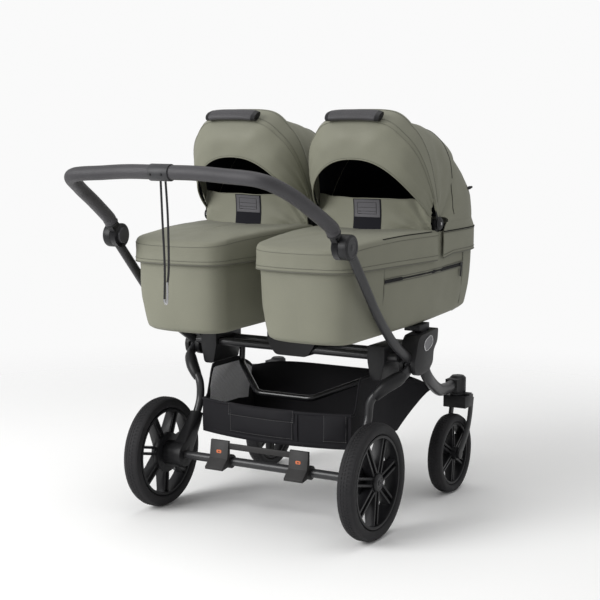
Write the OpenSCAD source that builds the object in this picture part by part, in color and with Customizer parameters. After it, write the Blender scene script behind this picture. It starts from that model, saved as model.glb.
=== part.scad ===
// Side-by-side twin pram: folding chassis with castors, tilting handle and two hooded carrycots.
// +X is the pusher's right, +Y the direction of travel, +Z up. Lengths in millimetres.

/* [Wheels] */
// Outer radius of a rear tyre
rear_wheel_r = 150; // [140:1:160]
// Width of a rear tyre
rear_tyre_w = 46; // [40:1:50]
// Radius where a rear tyre sits on its rim
rear_rim_r = 119; // [108:1:132]
// Distance between the rear wheels' middle planes
rear_track = 648; // [630:2:680]
// Pairs of spokes in a rear wheel
rear_spoke_pairs = 7; // [5:1:9]
// Outer radius of a front tyre
front_wheel_r = 112; // [100:1:118]
// Width of a front tyre
front_tyre_w = 40; // [34:1:44]
// Radius where a front tyre sits on its rim
front_rim_r = 88; // [78:1:96]
// Distance between the front wheels' middle planes
front_track = 600; // [584:2:620]
// Pairs of spokes in a front wheel
front_spoke_pairs = 6; // [5:1:8]
// Thickness of a spoke
spoke_t = 6; // [4:0.5:8]

/* [Chassis] */
// Distance from the rear axle forward to the castor swivel axis
castor_y = 574; // [560:1:600]
// How far a castor wheel trails its swivel axis
castor_trail = 49; // [40:1:56]
// Radius of the rear axle tube
axle_r = 11.5; // [10:0.5:14]
// Radius of a stub axle that carries a rear wheel
stub_r = 8; // [6:0.5:9]
// Height of the pivot that the rear frame folds about
fold_z = 420; // [412:1:428]
// Distance of the fold pivot in front of the rear axle
fold_y = 190; // [184:1:196]
// Thickness of a side bracket
bracket_t = 46; // [44:1:50]
// Radius of a cross tube
cross_tube_r = 11; // [8:0.5:13]
// Radius of the hoop over the basket
hoop_r = 8.5; // [6:0.5:10]

/* [Handle] */
// Height of the hubs that the handle tilts on
hub_z = 757; // [745:1:770]
// Radius of a handle hub
hub_r = 31; // [28:1:34]
// Half thickness of the padded bar
bar_r = 17; // [14:0.5:19]
// Height of the middle of the padded bar
bar_z = 935; // [915:1:955]
// Free length of the wrist strap
strap_l = 285; // [220:5:320]
// Width of the wrist strap's webbing
strap_w = 9; // [6:1:14]

/* [Carrycots] */
// Gap between the two cots
cot_gap = 6; // [4:1:14]
// Outer width of a cot over its skirt
cot_w = 366; // [340:2:368]
// Outer length of a cot over its skirt
cot_l = 744; // [720:2:760]
// Height of a cot's rim
cot_rim_z = 760; // [750:1:770]
// Thickness of a cot's padded wall
cot_wall = 12; // [8:1:16]
// Depth of the apron's skirt below the rim
skirt_h = 72; // [50:1:90]
// Height of the raised wind flap above the rim
flap_h = 86; // [60:1:90]
// Thickness of the mattress at its edge
mattress_h = 44; // [30:1:60]

/* [Hoods] */
// Height of a hood's pivots above the rim
hood_rise = 22; // [20:1:30]
// Distance of a hood's pivots in front of the rear axle
hood_y = 296; // [290:1:302]
// Reach of the hood bow from its pivot axis
bow_r = 292; // [284:1:300]
// Width of the grip on the hood bow
grip_w = 154; // [120:1:180]

/* [Basket] */
// Height of the basket's floor
basket_floor_z = 207; // [200:1:215]
// Width of the basket between the rear legs
basket_w = 460; // [420:2:464]

/* [Hidden] */
$fn = 48;
// Cuts run past the faces they open by this much
overrun = 2;
// Gap between pieces that are fixed together
seat_gap = 0.1;
// Radial gap of a shaft that turns in its bore
run_gap = 0.05;
// Gap between faces that pass each other
pass_gap = 0.4;
// Gap between soft pieces and what they lie against
soft_gap = 0.4;

// Colours as photographed
olive = [0.42, 0.42, 0.36];
tyre_black = [0.11, 0.11, 0.12];
plastic_black = [0.08, 0.08, 0.09];
plastic_grey = [0.24, 0.24, 0.25];
tube_grey = [0.30, 0.30, 0.31];
leather_grey = [0.23, 0.22, 0.23];
cloth_black = [0.09, 0.09, 0.10];
cloth_white = [0.85, 0.84, 0.80];

// Widths that the cots set
cot_half = cot_w / 2;
cot_x = cot_half + cot_gap / 2;
cot_waist_share = 0.75;
tube_half = [13, 11];
tube_clear = 2.75;
leg_x = cot_x + cot_half * cot_waist_share + tube_half[1] + tube_clear;

// Wheels
rear_x = rear_track / 2;
front_x = front_track / 2;
front_axle_y = castor_y - castor_trail;
rim_wall = 7;
rear_rim_w = 38;
front_rim_w = 30;
rear_hub_r = 27;
front_hub_r = 18;
rear_hub_out = 14;
drum_r = 54;
drum_w = 12;
drum_in = 23;
rear_cap_r = 23;
cap_h = 8;
cap_edge = 3;
rear_spoke_gap = 17;
front_spoke_gap = 11;
spoke_depth_share = 0.86;
spoke_tip_share = 0.62;
tyre_round = 3.2;

// Rear frame
axle_inset = 62;
hub_play = 1;
axle_half = rear_x - axle_inset;
stub_end = rear_x + rear_hub_out - hub_play;
sleeve_r = 33;
boot_r = 25;
boot_w = 36;
boot_drop = 80;
sleeve_in = axle_half - boot_w / 2;
sleeve_out = rear_x - drum_in - hub_play;
leg_foot_y = 80;
leg_foot_z = 252;
leg_foot = [axle_half, leg_foot_y, leg_foot_z];
leg_gap = 0.7;
// Bends of a rear leg below its pivot: share of the way in, then back and down
leg_cross_shares = [0.04, 0.45, 0.92];
leg_back = [34, 70, 88];
leg_down = [22, 47, 84];
leg_shin_shares = [0.15, 0.22];
leg_halves = [[14, 10], [15, 10], [15, 10], [11, 11], [11, 11], [11, 11]];
leg_sock_r = 17;
leg_sock_l = 26;
eye_r = 17;
eye_w = 22;
pivot_r = 5;

// Side brackets
bracket_x = leg_x - bracket_t / 2;
bracket_l = 144;
bracket_h = 113;
bracket_back = 26;
bracket_drop = 27;
bracket_corner = 9;
bracket_outline_shares = [
    [0, 0.28], [0.04, 0.06], [0.18, 0], [0.39, 0.01], [0.61, 0.04], [0.78, 0.22],
    [0.81, 0.5], [0.97, 0.7], [1, 1], [0.24, 0.91], [0.14, 0.77], [0.10, 0.59]
];
slot_reach = 60;
slot_outline_shares = [[-0.2, 0.21], [-1, 0.03], [-1, -1], [0.38, -1], [0.27, -0.11]];
peg_w = 18;
peg_l = 36;
peg_h = 22;
peg_ahead = 62;
peg_y = fold_y + peg_ahead;
pad_w = 28;
pad_l = 60;

// Inner housings, cross tubes and hoop
housing_in = 236;
housing_out = 286;
housing_low_in = 246;
housing_low_out = 276;
housing_back = 52;
housing_ahead = 76;
housing_drop = 40;
housing_rise = 52;
housing_waist_share = 0.55;
housing_y0 = fold_y - housing_back;
housing_y1 = fold_y + housing_ahead;
housing_z0 = fold_z - housing_drop;
housing_z1 = fold_z + housing_rise;
cross_back = 26;
cross_ahead = 50;
cross_rise = 20;
cross_y = [fold_y - cross_back, fold_y + cross_ahead];
cross_z = fold_z + cross_rise;
adapter_w = 150;
adapter_l = 112;
adapter_top = 494;
adapter_wall = 8;
adapter_bottom = cross_z - cross_tube_r - adapter_wall;
adapter_corner = 12;
adapter_waist_share = 0.5;
adapter_foot_share = 0.33;
hoop_drop = 102;
hoop_floor_z = fold_z - hoop_drop;
hoop_back_y = 112;
hoop_half = 84;
hoop_top = 214;
hoop_knee = [212, 8, 57];
hoop_bend = 15;

// Castors
crown_gap = 14;
crown_z = 2 * front_wheel_r + crown_gap;
crown_h = 34;
castor_play = 1;
lock_z = crown_z + crown_h + castor_play;
lock_h = 7;
lock_r = 22;
lock_tab_l = 40;
lock_tab_w = 20;
head_z = lock_z + lock_h + castor_play;
head_h = 47;
head_r = 23;
head_dome = 6;
collar_l = 46;
collar_w = 36;
collar_h = 36;
stem_r = 8;
stem_l = 30;
fork_gap = 5;
fork_arm_x = front_tyre_w / 2 + fork_gap;
fork_arm_t = 9;
fork_arm_w = 28;
front_pin_r = 5;
fork_lead = 32;
fork_mid_shares = [0.72, 0.45];

// Front legs
front_leg_half = [17, 14];
front_leg_root_shares = [0.70, 0.11];
front_leg_lean = [0, 0.64, -0.77];
front_leg_mid_shares = [0.55, 0.52, 0.86];
front_leg_low_shares = [0.9, 0.82];
front_leg_start = [
    leg_x, fold_y - bracket_back + bracket_l * front_leg_root_shares[0],
    fold_z - bracket_drop + bracket_h * front_leg_root_shares[1]
];
front_leg_end = [front_x, castor_y - collar_l + overrun, head_z + head_h / 2];
front_leg_mid = [for (i = [0 : 2])
    front_leg_start[i] + (front_leg_end[i] - front_leg_start[i]) * front_leg_mid_shares[i]];

// Handle
hub_y = -172;
hub_inner = 19;
hub_middle = 3;
hub_outer = 21;
hub_in = leg_x - hub_inner;
hub_split = leg_x - hub_middle;
hub_out = leg_x + hub_outer;
hub_pin_r = 6;
hub_edge = 2;
button_r = 20;
button_out = 8;
button_deep = 4;
button_travel = 3.5;
bar_corner_y = -364;
bar_mid_y = -434;
bar_corner_drop = 44;
bar_corner_z = bar_z - bar_corner_drop;
bar_inset = 37;
bar_half = leg_x - bar_inset;
arm_lift = 62;
arm_back = 58;
arm_gap = 14;
arm_straight = 26;
arm_in = [11, 23];
arm_start = hub_r + arm_gap;
arm_knee_shares = [2.05, 1.52];
knuckle_arm_share = 0.8;
// Points of the bar between its corner and its middle: width share, shares of the way back and up
bar_bend_shares = [[0.887, 0.93, 0.7], [0.56, 0.98, 0.9], [0.3, 1, 1]];
collar_w_bar = 56;
collar_t = 3;
strap_t = 2.4;
strap_gap = 9;
strap_sway_shares = [0.2, 0.75, 0.4];
strap_drop_shares = [0, 0.5, 1];
tube_mid = [[0, 564], [90, 488]];
tube_run = 100;
tube_fall = 58;
tube_out = [9, 3];
tube_bend = 46;
tube_sink = 6;

// Brake
pedal_x = 122;
pedal_w = 56;
pedal_ring_wall = 7;
pedal_ring_r = axle_r + pedal_ring_wall;
pedal_top = 58;
pedal_plate_t = 7;
pedal_lip_l = 30;
pedal_lip_drop = 10;
link_h = 16;
link_t = 6;
link_z = 36;

// Carrycots
cot_foot_y = -152;
cot_foot_bottom_z = 500;
cot_head_bottom_z = 538;
// Half outline from the middle of the foot to the middle of the head: width share, length share
cot_plan_shares = [
    [0, 0], [0.34, 0.005], [0.61, 0.024], [0.745, 0.067], [0.777, 0.134], [0.886, 0.336],
    [0.985, 0.55], [1, 0.7], [0.99, 0.86], [0.9, 0.955], [0.55, 0.992], [0, 1]
];
// Levels of the tub: height share, width share, foot inset share, head inset share
cot_level_shares = [
    [0, 0.78, 0.078, 0.062], [0.025, 0.84, 0.055, 0.042], [0.1, 0.885, 0.038, 0.03],
    [0.45, 0.935, 0.018, 0.018], [1, 0.955, 0.014, 0.012]
];
skirt_t = 3.2;
cover_crown = 15;
cover_lift = -8;
// The rim dips from here on towards the foot
rim_dip = 20;
rim_run = 330;
cover_draw_share = 0.55;
cover_end_share = 0.45;
// Levels of the apron's top: height share, width share
cover_level_shares = [[0, 1], [0.43, 0.994], [0.77, 0.978], [0.88, 0.93], [0.95, 0.75], [1, 0.3]];
apron_short = 16;
apron_end = hood_y - apron_short;
apron_mouth_y = 226;
apron_arm = 30;
flap_t = 5;
flap_bow = 46;
flap_lap = 14;
flap_set_share = 0.8;
flap_steps = 8;
flap_half = cot_half - apron_arm + flap_lap;
mattress_gap = 7;
mattress_crown = 14;
// Levels of the mattress: plan share, share of its edge height, share of its crown
mattress_level_shares = [
    [0.95, 0, 0], [0.99, 0.2, 0], [1, 0.5, 0], [0.98, 0.85, 0], [0.86, 1, 0.5], [0.5, 1, 1]
];

// Hoods
hood_z = cot_rim_z + hood_rise;
bow_inset = 4;
bow_half = cot_half - bow_inset;
bow_t = 5;
gore_t = 3;
gore_gap = 0.6;
gore_half = bow_half - bow_t - soft_gap;
gore_r = bow_r - bow_t - soft_gap;
canopy_half = gore_half - gore_t - gore_gap;
canopy_r = gore_r - gore_t - gore_gap;
hood_power_share = 0.58;
skirt_power_share = 0.35;
bow_front = 28;
bow_back = 12;
bow_root_share = 1.3;
gore_front = 15;
gore_back = 42;
canopy_front = 38;
canopy_back = 91;
hole_r = 40;
hood_eye_r = 17;
hood_stud_r = 5;
lug_l = 24;
lug_t = 10;
visor_r = 229;
visor_start = 9;
visor_turn = 42;
visor_sag_turn = 12;
visor_t = 3;
visor_bulge = 12;
visor_lap_turn = 0.3;
visor_out = [0, -1, 0.5];
visor_in_shares = [0.9, 0.5];
hood_skirt_ahead = 20;
hood_skirt_h = 62;
grip_r = 13;
grip_turn = 27;
grip_half_shares = [1.7, 0.85];
// Points along the grip, as shares of its half width
grip_route_shares = [-1, -0.5, 0, 0.5, 1];

// Basket
basket_y0 = 22;
basket_y1 = 330;
basket_mouth_y = front_leg_mid[1];
basket_top_z = 296;
basket_side_z = 384;
basket_front_z = front_leg_mid[2];
basket_front_w = 2 * (front_leg_mid[0] - front_leg_half[1] - soft_gap);
basket_wall = 3;
basket_bow = 40;
basket_nose = 14;
basket_rise_y0 = 84;
basket_rise_y1 = 112;
basket_flare_share = 0.62;

rear_reach = bar_mid_y - bar_r - collar_t;
front_reach = front_axle_y + front_wheel_r;
middle_y = (front_reach + rear_reach) / 2;

// Vectors, curves and skins
function unit(v) = v / norm(v);
function lerp(a, b, t) = a + (b - a) * t;
function knot(p, i) = p[max(0, min(i, len(p) - 1))];
function curve_at(a, b, c, d, t) =
    b + (c - a) * t / 2 + (2 * a - 5 * b + 4 * c - d) * t * t / 2 + (3 * b - a - 3 * c + d) * t * t * t / 2;
function curve(p, steps) = concat(
    [for (i = [0 : len(p) - 2]) for (k = [0 : steps - 1])
        curve_at(knot(p, i - 1), p[i], p[i + 1], knot(p, i + 2), k / steps)],
    [p[len(p) - 1]]);
function bend(a, b, c, reach, steps) =
    let (p = b + unit(a - b) * reach, q = b + unit(c - b) * reach)
    [for (k = [0 : steps]) let (t = k / steps) (1 - t) * (1 - t) * p + 2 * t * (1 - t) * b + t * t * q];
function bent_path(p, reach, steps) = concat(
    [p[0]],
    [for (i = [1 : len(p) - 2]) each bend(p[i - 1], p[i], p[i + 1], reach, steps)],
    [p[len(p) - 1]]);
function rounded(p, reach, steps) =
    [for (i = [0 : len(p) - 1])
        each bend(p[(i + len(p) - 1) % len(p)], p[i], p[(i + 1) % len(p)], reach, steps)];
function ring(c, along, ref, half, sides) =
    let (u = unit(cross(ref, along)), v = cross(along, u))
    [for (k = [0 : sides - 1])
        c + half[0] * cos(360 * k / sides) * u + half[1] * sin(360 * k / sides) * v];
function sweep_rings(p, halves, ref, sides) =
    [for (i = [0 : len(p) - 1])
        ring(p[i], unit(knot(p, i + 1) - knot(p, i - 1)), ref, knot(halves, i), sides)];
function cap_faces(first, sides) = concat(
    [[first, first + 1, first + sides - 1]],
    [for (k = [1 : sides / 2 - 2]) each [
        [first + k, first + k + 1, first + sides - k - 1],
        [first + k, first + sides - k - 1, first + sides - k]]],
    [[first + sides / 2 - 1, first + sides / 2, first + sides / 2 + 1]]);
function turned(face) = [face[2], face[1], face[0]];
function side_faces(count, sides) =
    [for (i = [0 : count - 2]) for (k = [0 : sides - 1])
        let (a = i * sides + k, b = i * sides + (k + 1) % sides)
        each [[a, a + sides, b + sides], [a, b + sides, b]]];
module skin(rings) {
    sides = len(rings[0]);
    last = (len(rings) - 1) * sides;
    polyhedron(
        points = [for (r = rings) each r],
        faces = concat(
            cap_faces(0, sides),
            side_faces(len(rings), sides),
            [for (f = cap_faces(last, sides)) turned(f)]),
        convexity = 6);
}
module rod(a, b, r) {
    d = b - a;
    translate(a) rotate([0, acos(d[2] / norm(d)), atan2(d[1], d[0])]) cylinder(h = norm(d), r = r);
}
module along_x(x0, x1, y, z, r) {
    translate([x0, y, z]) rotate([0, 90, 0]) cylinder(h = x1 - x0, r = r);
}
module side_plate(x0, x1, outline) {
    translate([x0, 0, 0]) rotate([90, 0, 90]) linear_extrude(x1 - x0) polygon(outline);
}
module sided(side) {
    if (side < 0) mirror([1, 0, 0]) children();
    else children();
}
module placed() {
    translate([0, -middle_y, 0]) children();
}

// Wheels
module on_axle(x, y, z) {
    translate([x, y, z]) rotate([0, 90, 0]) children();
}
function tyre_point(a, r0, r1, w) =
    [(r0 + r1) / 2 + (r1 - r0) / 2 * sign(cos(a)) * pow(abs(cos(a)), 2 / tyre_round),
     w / 2 * sign(sin(a)) * pow(abs(sin(a)), 2 / tyre_round)];
module tyre(r0, r1, w) {
    sides = 28;
    rotate_extrude() polygon([for (k = [0 : sides - 1]) tyre_point(360 * k / sides, r0, r1, w)]);
}
module spokes(r0, r1, width, gap, pairs) {
    root = width * spoke_depth_share / 2;
    tip = width * spoke_tip_share / 2;
    for (i = [0 : pairs - 1]) for (s = [-1, 1])
        rotate(360 * i / pairs) translate([0, s * gap / 2, 0]) rotate([90, 0, 0])
            linear_extrude(spoke_t, center = true)
                polygon([[r0, -root], [r1, -tip], [r1, tip], [r0, root]]);
}
module rim_ring(r, width) {
    rotate_extrude() translate([r - rim_wall, -width / 2]) square([rim_wall - seat_gap, width]);
}
module rear_rim() {
    difference() {
        union() {
            rim_ring(rear_rim_r, rear_rim_w);
            spokes(rear_hub_r - overrun, rear_rim_r - rim_wall / 2, rear_rim_w, rear_spoke_gap, rear_spoke_pairs);
            translate([0, 0, -drum_in]) cylinder(h = drum_in + rear_hub_out, r = rear_hub_r);
            translate([0, 0, -drum_in]) cylinder(h = drum_w, r = drum_r);
        }
        translate([0, 0, -drum_in - overrun])
            cylinder(h = drum_in + rear_hub_out + 2 * overrun, r = stub_r + run_gap);
    }
}
module rear_cap() {
    translate([0, 0, rear_hub_out + seat_gap]) {
        cylinder(h = cap_h - cap_edge, r = rear_cap_r);
        translate([0, 0, cap_h - cap_edge]) cylinder(h = cap_edge, r1 = rear_cap_r, r2 = rear_cap_r - cap_edge);
    }
}
module front_rim() {
    difference() {
        union() {
            rim_ring(front_rim_r, front_rim_w);
            spokes(front_hub_r - rim_wall, front_rim_r - rim_wall / 2, front_rim_w, front_spoke_gap,
                front_spoke_pairs);
            cylinder(h = 2 * fork_arm_x - 2 * pass_gap, r = front_hub_r, center = true);
        }
        cylinder(h = 2 * fork_arm_x + overrun, r = front_pin_r + run_gap, center = true);
    }
}
module rear_wheel_place(side) {
    sided(side) on_axle(rear_x, 0, rear_wheel_r) children();
}
module front_wheel_place(side) {
    sided(side) on_axle(front_x, front_axle_y, front_wheel_r) children();
}
module rear_tyre_side(side) {
    color(tyre_black) rear_wheel_place(side) tyre(rear_rim_r, rear_wheel_r, rear_tyre_w);
}
module rear_rim_side(side) {
    color(plastic_black) rear_wheel_place(side) rear_rim();
}
module rear_cap_side(side) {
    color(plastic_grey) rear_wheel_place(side) rear_cap();
}
module front_tyre_side(side) {
    color(tyre_black) front_wheel_place(side) tyre(front_rim_r, front_wheel_r, front_tyre_w);
}
module front_rim_side(side) {
    color(plastic_black) front_wheel_place(side) front_rim();
}

// Castors
module castor_fork_side(side) {
    arm_top = [castor_y + fork_lead, crown_z + crown_h - fork_arm_t];
    arm_low = [front_axle_y, front_wheel_r];
    arm_mid = [for (i = [0, 1]) lerp(arm_low[i], arm_top[i], fork_mid_shares[i])];
    color(plastic_grey) sided(side) translate([front_x, 0, 0]) {
        for (s = [-1, 1]) {
            x = s * (fork_arm_x + fork_arm_t / 2);
            path = curve([[x, arm_top[0], arm_top[1]], [x, arm_mid[0], arm_mid[1]], [x, arm_low[0], arm_low[1]]], 6);
            skin(sweep_rings(path, [[fork_arm_w / 2, fork_arm_t / 2]], [1, 0, 0], 14));
            along_x(x - fork_arm_t / 2, x + fork_arm_t / 2, arm_low[0], arm_low[1], fork_arm_w / 2);
        }
        along_x(-fork_arm_x - fork_arm_t / 2, fork_arm_x + fork_arm_t / 2, arm_low[0], arm_low[1], front_pin_r);
        translate([-fork_arm_x - fork_arm_t, castor_y - head_r, crown_z])
            cube([2 * (fork_arm_x + fork_arm_t), head_r + fork_lead, crown_h]);
        translate([0, castor_y, crown_z]) cylinder(h = crown_h, r = head_r);
        translate([0, castor_y, crown_z]) cylinder(h = crown_h + lock_h + stem_l, r = stem_r);
    }
}
module swivel_lock_side(side) {
    color(plastic_black) sided(side) translate([front_x, castor_y, lock_z]) difference() {
        union() {
            cylinder(h = lock_h, r = lock_r);
            translate([0, -lock_tab_w / 2, 0]) cube([lock_tab_l, lock_tab_w, lock_h]);
        }
        translate([0, 0, -overrun]) cylinder(h = lock_h + 2 * overrun, r = stem_r + run_gap);
    }
}
module castor_head_side(side) {
    color(plastic_black) sided(side) translate([front_x, castor_y, head_z]) difference() {
        union() {
            cylinder(h = head_h - head_dome, r = head_r);
            translate([0, 0, head_h - head_dome]) cylinder(h = head_dome, r1 = head_r, r2 = head_r - head_dome);
            translate([-collar_w / 2, -collar_l, (head_h - collar_h) / 2]) cube([collar_w, collar_l, collar_h]);
        }
        translate([0, 0, -overrun]) cylinder(h = stem_l + overrun, r = stem_r + run_gap);
    }
}
module front_leg_side(side) {
    lean = unit(front_leg_lean);
    route = [
        front_leg_start + lean * leg_gap,
        front_leg_start + lean * collar_l,
        front_leg_mid,
        [lerp(leg_x, front_x, front_leg_low_shares[0]),
         lerp(front_leg_start[1], front_leg_end[1], front_leg_low_shares[1]), front_leg_end[2]],
        front_leg_end
    ];
    color(tube_grey) sided(side) difference() {
        skin(sweep_rings(curve(route, 5), [front_leg_half], [1, 0, 0], 16));
        translate([0, castor_y - collar_l - seat_gap, 0]) cube([leg_x, collar_l, 2 * head_z]);
    }
}

// Chassis
function bracket_outline() =
    [for (s = bracket_outline_shares)
        [fold_y - bracket_back + bracket_l * s[0], fold_z - bracket_drop + bracket_h * s[1]]];
module side_bracket_side(side) {
    slot_x0 = leg_x - eye_w / 2 - pass_gap;
    slot_x1 = leg_x + eye_w / 2 + pass_gap;
    color(plastic_grey) sided(side) {
        difference() {
            side_plate(bracket_x, bracket_x + bracket_t, rounded(bracket_outline(), bracket_corner, 4));
            along_x(slot_x0, slot_x1, fold_y, fold_z, eye_r + pass_gap);
            side_plate(slot_x0, slot_x1,
                [for (s = slot_outline_shares) [fold_y + slot_reach * s[0], fold_z + slot_reach * s[1]]]);
            translate([leg_x - peg_w / 2 - pass_gap, peg_y - peg_l / 2 - pass_gap, cot_pad_z() - peg_h - pass_gap])
                cube([peg_w + 2 * pass_gap, peg_l + 2 * pass_gap, bracket_h]);
        }
        along_x(slot_x0 - overrun, slot_x1 + overrun, fold_y, fold_z, pivot_r);
    }
}
function bracket_top(y) =
    let (s0 = bracket_outline_shares[9], s1 = bracket_outline_shares[8],
         t = ((y - fold_y + bracket_back) / bracket_l - s0[0]) / (s1[0] - s0[0]))
    fold_z - bracket_drop + bracket_h * lerp(s0[1], s1[1], t);
function cot_pad_z() = bracket_top(peg_y + pad_l / 2) + soft_gap;
module inner_housings() {
    waist_z = lerp(housing_z0, housing_z1, housing_waist_share);
    color(plastic_grey) for (side = [-1, 1]) sided(side) difference() {
        translate([0, housing_y1, 0]) rotate([90, 0, 0]) linear_extrude(housing_y1 - housing_y0)
            polygon(rounded([
                [housing_low_in, housing_z0], [housing_low_out, housing_z0], [housing_out, waist_z],
                [housing_out, housing_z1], [housing_in, housing_z1], [housing_in, waist_z]],
                bracket_corner, 4));
        for (y = cross_y) along_x(housing_in - overrun, housing_out + overrun, y, cross_z, cross_tube_r + seat_gap);
    }
}
module cross_tubes() {
    half = bracket_x - seat_gap;
    color(tube_grey) for (y = cross_y) along_x(-half, half, y, cross_z, cross_tube_r);
}
module centre_adapter() {
    y0 = (cross_y[0] + cross_y[1] - adapter_l) / 2;
    waist_z = lerp(adapter_bottom, adapter_top, adapter_waist_share);
    foot = adapter_w * adapter_foot_share;
    color(plastic_black) difference() {
        translate([0, y0 + adapter_l, 0]) rotate([90, 0, 0]) linear_extrude(adapter_l)
            polygon(rounded([
                [-adapter_w / 2, adapter_top], [-adapter_w / 2, waist_z], [-foot, adapter_bottom],
                [foot, adapter_bottom], [adapter_w / 2, waist_z], [adapter_w / 2, adapter_top]],
                adapter_corner, 4));
        for (y = cross_y) along_x(-adapter_w, adapter_w, y, cross_z, cross_tube_r + seat_gap);
    }
}
function hoop_half_route(s) = [
    [s * hoop_top, cross_y[1], cross_z - cross_tube_r - pass_gap - seat_gap],
    [s * hoop_knee[0], cross_y[1] - hoop_knee[1], cross_z - cross_tube_r - hoop_knee[2]],
    [s * hoop_half, hoop_back_y, hoop_floor_z]
];
module basket_hoop() {
    right = hoop_half_route(1);
    path = bent_path(concat(hoop_half_route(-1), [right[2], right[1], right[0]]), hoop_bend, 5);
    color(plastic_black) skin(sweep_rings(path, [[hoop_r, hoop_r]], [0, 1, -1], 12));
}

// Rear frame
module rear_leg_side(side) {
    route = concat(
        [[leg_x, fold_y, fold_z]],
        [for (i = [0 : 2])
            [lerp(leg_x, leg_foot[0], leg_cross_shares[i]), fold_y - leg_back[i], fold_z - leg_down[i]]],
        [[leg_foot[0], lerp(leg_foot[1], fold_y, leg_shin_shares[0]), lerp(leg_foot[2], fold_z, leg_shin_shares[1])],
         leg_foot]);
    steps = 4;
    color(tube_grey) sided(side) difference() {
        union() {
            skin(sweep_rings(curve(route, steps), curve(leg_halves, steps), [1, 0, 0], 14));
            along_x(leg_x - eye_w / 2, leg_x + eye_w / 2, fold_y, fold_z, eye_r);
        }
        along_x(leg_x - eye_w, leg_x + eye_w, fold_y, fold_z, pivot_r + run_gap);
    }
}
module suspension_side(side) {
    down = unit([leg_foot[0], 0, rear_wheel_r - boot_drop] - leg_foot);
    color(plastic_black) sided(side) difference() {
        union() {
            along_x(sleeve_in, sleeve_out, 0, rear_wheel_r, sleeve_r);
            hull() {
                along_x(leg_foot[0] - boot_w / 2, leg_foot[0] + boot_w / 2, 0, rear_wheel_r, boot_r, $fn = 32);
                rod(leg_foot + down * leg_gap, leg_foot + down * leg_sock_l, leg_sock_r, $fn = 32);
            }
        }
        along_x(sleeve_in - boot_w, axle_half + seat_gap, 0, rear_wheel_r, axle_r + seat_gap);
        along_x(axle_half - overrun, sleeve_out + overrun, 0, rear_wheel_r, stub_r + seat_gap);
    }
}
module rear_axle() {
    color(tube_grey) {
        along_x(-axle_half, axle_half, 0, rear_wheel_r, axle_r);
        along_x(-stub_end, stub_end, 0, rear_wheel_r, stub_r);
    }
}

// Brake
module brake_pedal_side(side) {
    x0 = pedal_x - pedal_w / 2;
    z = rear_wheel_r;
    outline = [
        [-pedal_ring_r, -axle_r], [-pedal_ring_r - pedal_lip_l, -pedal_lip_drop - pedal_plate_t],
        [-pedal_ring_r - pedal_lip_l, -pedal_lip_drop], [-pedal_ring_r - pedal_plate_t, axle_r],
        [-axle_r - pedal_plate_t, pedal_top], [-axle_r, pedal_top], [-axle_r, axle_r]
    ];
    color(plastic_grey) sided(side) difference() {
        union() {
            along_x(x0, x0 + pedal_w, 0, z, pedal_ring_r);
            side_plate(x0, x0 + pedal_w, [for (p = outline) [p[0], z + p[1]]]);
        }
        along_x(x0 - overrun, x0 + pedal_w + overrun, 0, z, axle_r + run_gap);
    }
}
module brake_link() {
    half = pedal_x - pedal_w / 2 - seat_gap;
    color(plastic_grey)
        translate([-half, -axle_r - link_t, rear_wheel_r + link_z]) cube([2 * half, link_t, link_h]);
}

// Handle
module lower_tube_side(side) {
    away = unit([tube_mid[0][0] - hub_y, tube_mid[0][1] - hub_z]);
    top = [hub_y, hub_z] + away * (hub_r - tube_sink);
    route = [
        [leg_x + tube_out[0], top[0], top[1]],
        [leg_x + tube_out[1], tube_mid[0][0], tube_mid[0][1]],
        [leg_x, tube_mid[1][0], tube_mid[1][1]],
        [leg_x, tube_mid[1][0] + tube_run, tube_mid[1][1] - tube_fall]
    ];
    color(tube_grey) sided(side) difference() {
        skin(sweep_rings(bent_path(route, tube_bend, 6), [tube_half], [1, 0, 0], 16));
        along_x(hub_split, hub_out + overrun, hub_y, hub_z, hub_r + seat_gap);
        translate([0, -2 * seat_gap, 0])
            side_plate(bracket_x, bracket_x + bracket_t, rounded(bracket_outline(), bracket_corner, 4));
    }
}
module hub_cases() {
    color(plastic_black) for (side = [-1, 1]) sided(side) {
        along_x(hub_split + pass_gap, hub_out - hub_edge, hub_y, hub_z, hub_r);
        translate([hub_out - hub_edge, hub_y, hub_z]) rotate([0, 90, 0])
            cylinder(h = hub_edge, r1 = hub_r, r2 = hub_r - hub_edge);
        along_x(hub_in + button_deep + button_travel + overrun, hub_split + overrun, hub_y, hub_z, hub_pin_r);
    }
}
module handle_knuckles() {
    up = unit([-arm_back, arm_lift]);
    color(plastic_black) for (side = [-1, 1]) sided(side) difference() {
        union() {
            along_x(hub_in, hub_split, hub_y, hub_z, hub_r);
            translate([0, hub_y, hub_z]) rotate([atan2(up[1], up[0]), 0, 0])
                translate([hub_in, 0, -bar_r * knuckle_arm_share])
                    cube([hub_split - hub_in, arm_start - pass_gap - seat_gap, 2 * bar_r * knuckle_arm_share]);
        }
        along_x(hub_in - overrun, hub_in + button_deep + button_travel + pass_gap, hub_y, hub_z, button_r + pass_gap);
        along_x(hub_in, hub_split + overrun, hub_y, hub_z, hub_pin_r + run_gap);
    }
}
function handle_half_route() =
    let (up = unit([-arm_back, arm_lift]), near = arm_start, far = arm_start + arm_straight)
    concat(
        [for (along = [near, (near + far) / 2, far])
            [leg_x - arm_in[0], hub_y + up[0] * along, hub_z + up[1] * along]],
        [[leg_x - arm_in[1], hub_y - arm_back * arm_knee_shares[0], hub_z + arm_lift * arm_knee_shares[1]],
         [bar_half, bar_corner_y, bar_corner_z]],
        [for (s = bar_bend_shares)
            [bar_half * s[0], lerp(bar_corner_y, bar_mid_y, s[1]), lerp(bar_corner_z, bar_z, s[2])]],
        [[0, bar_mid_y, bar_z]]);
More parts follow.
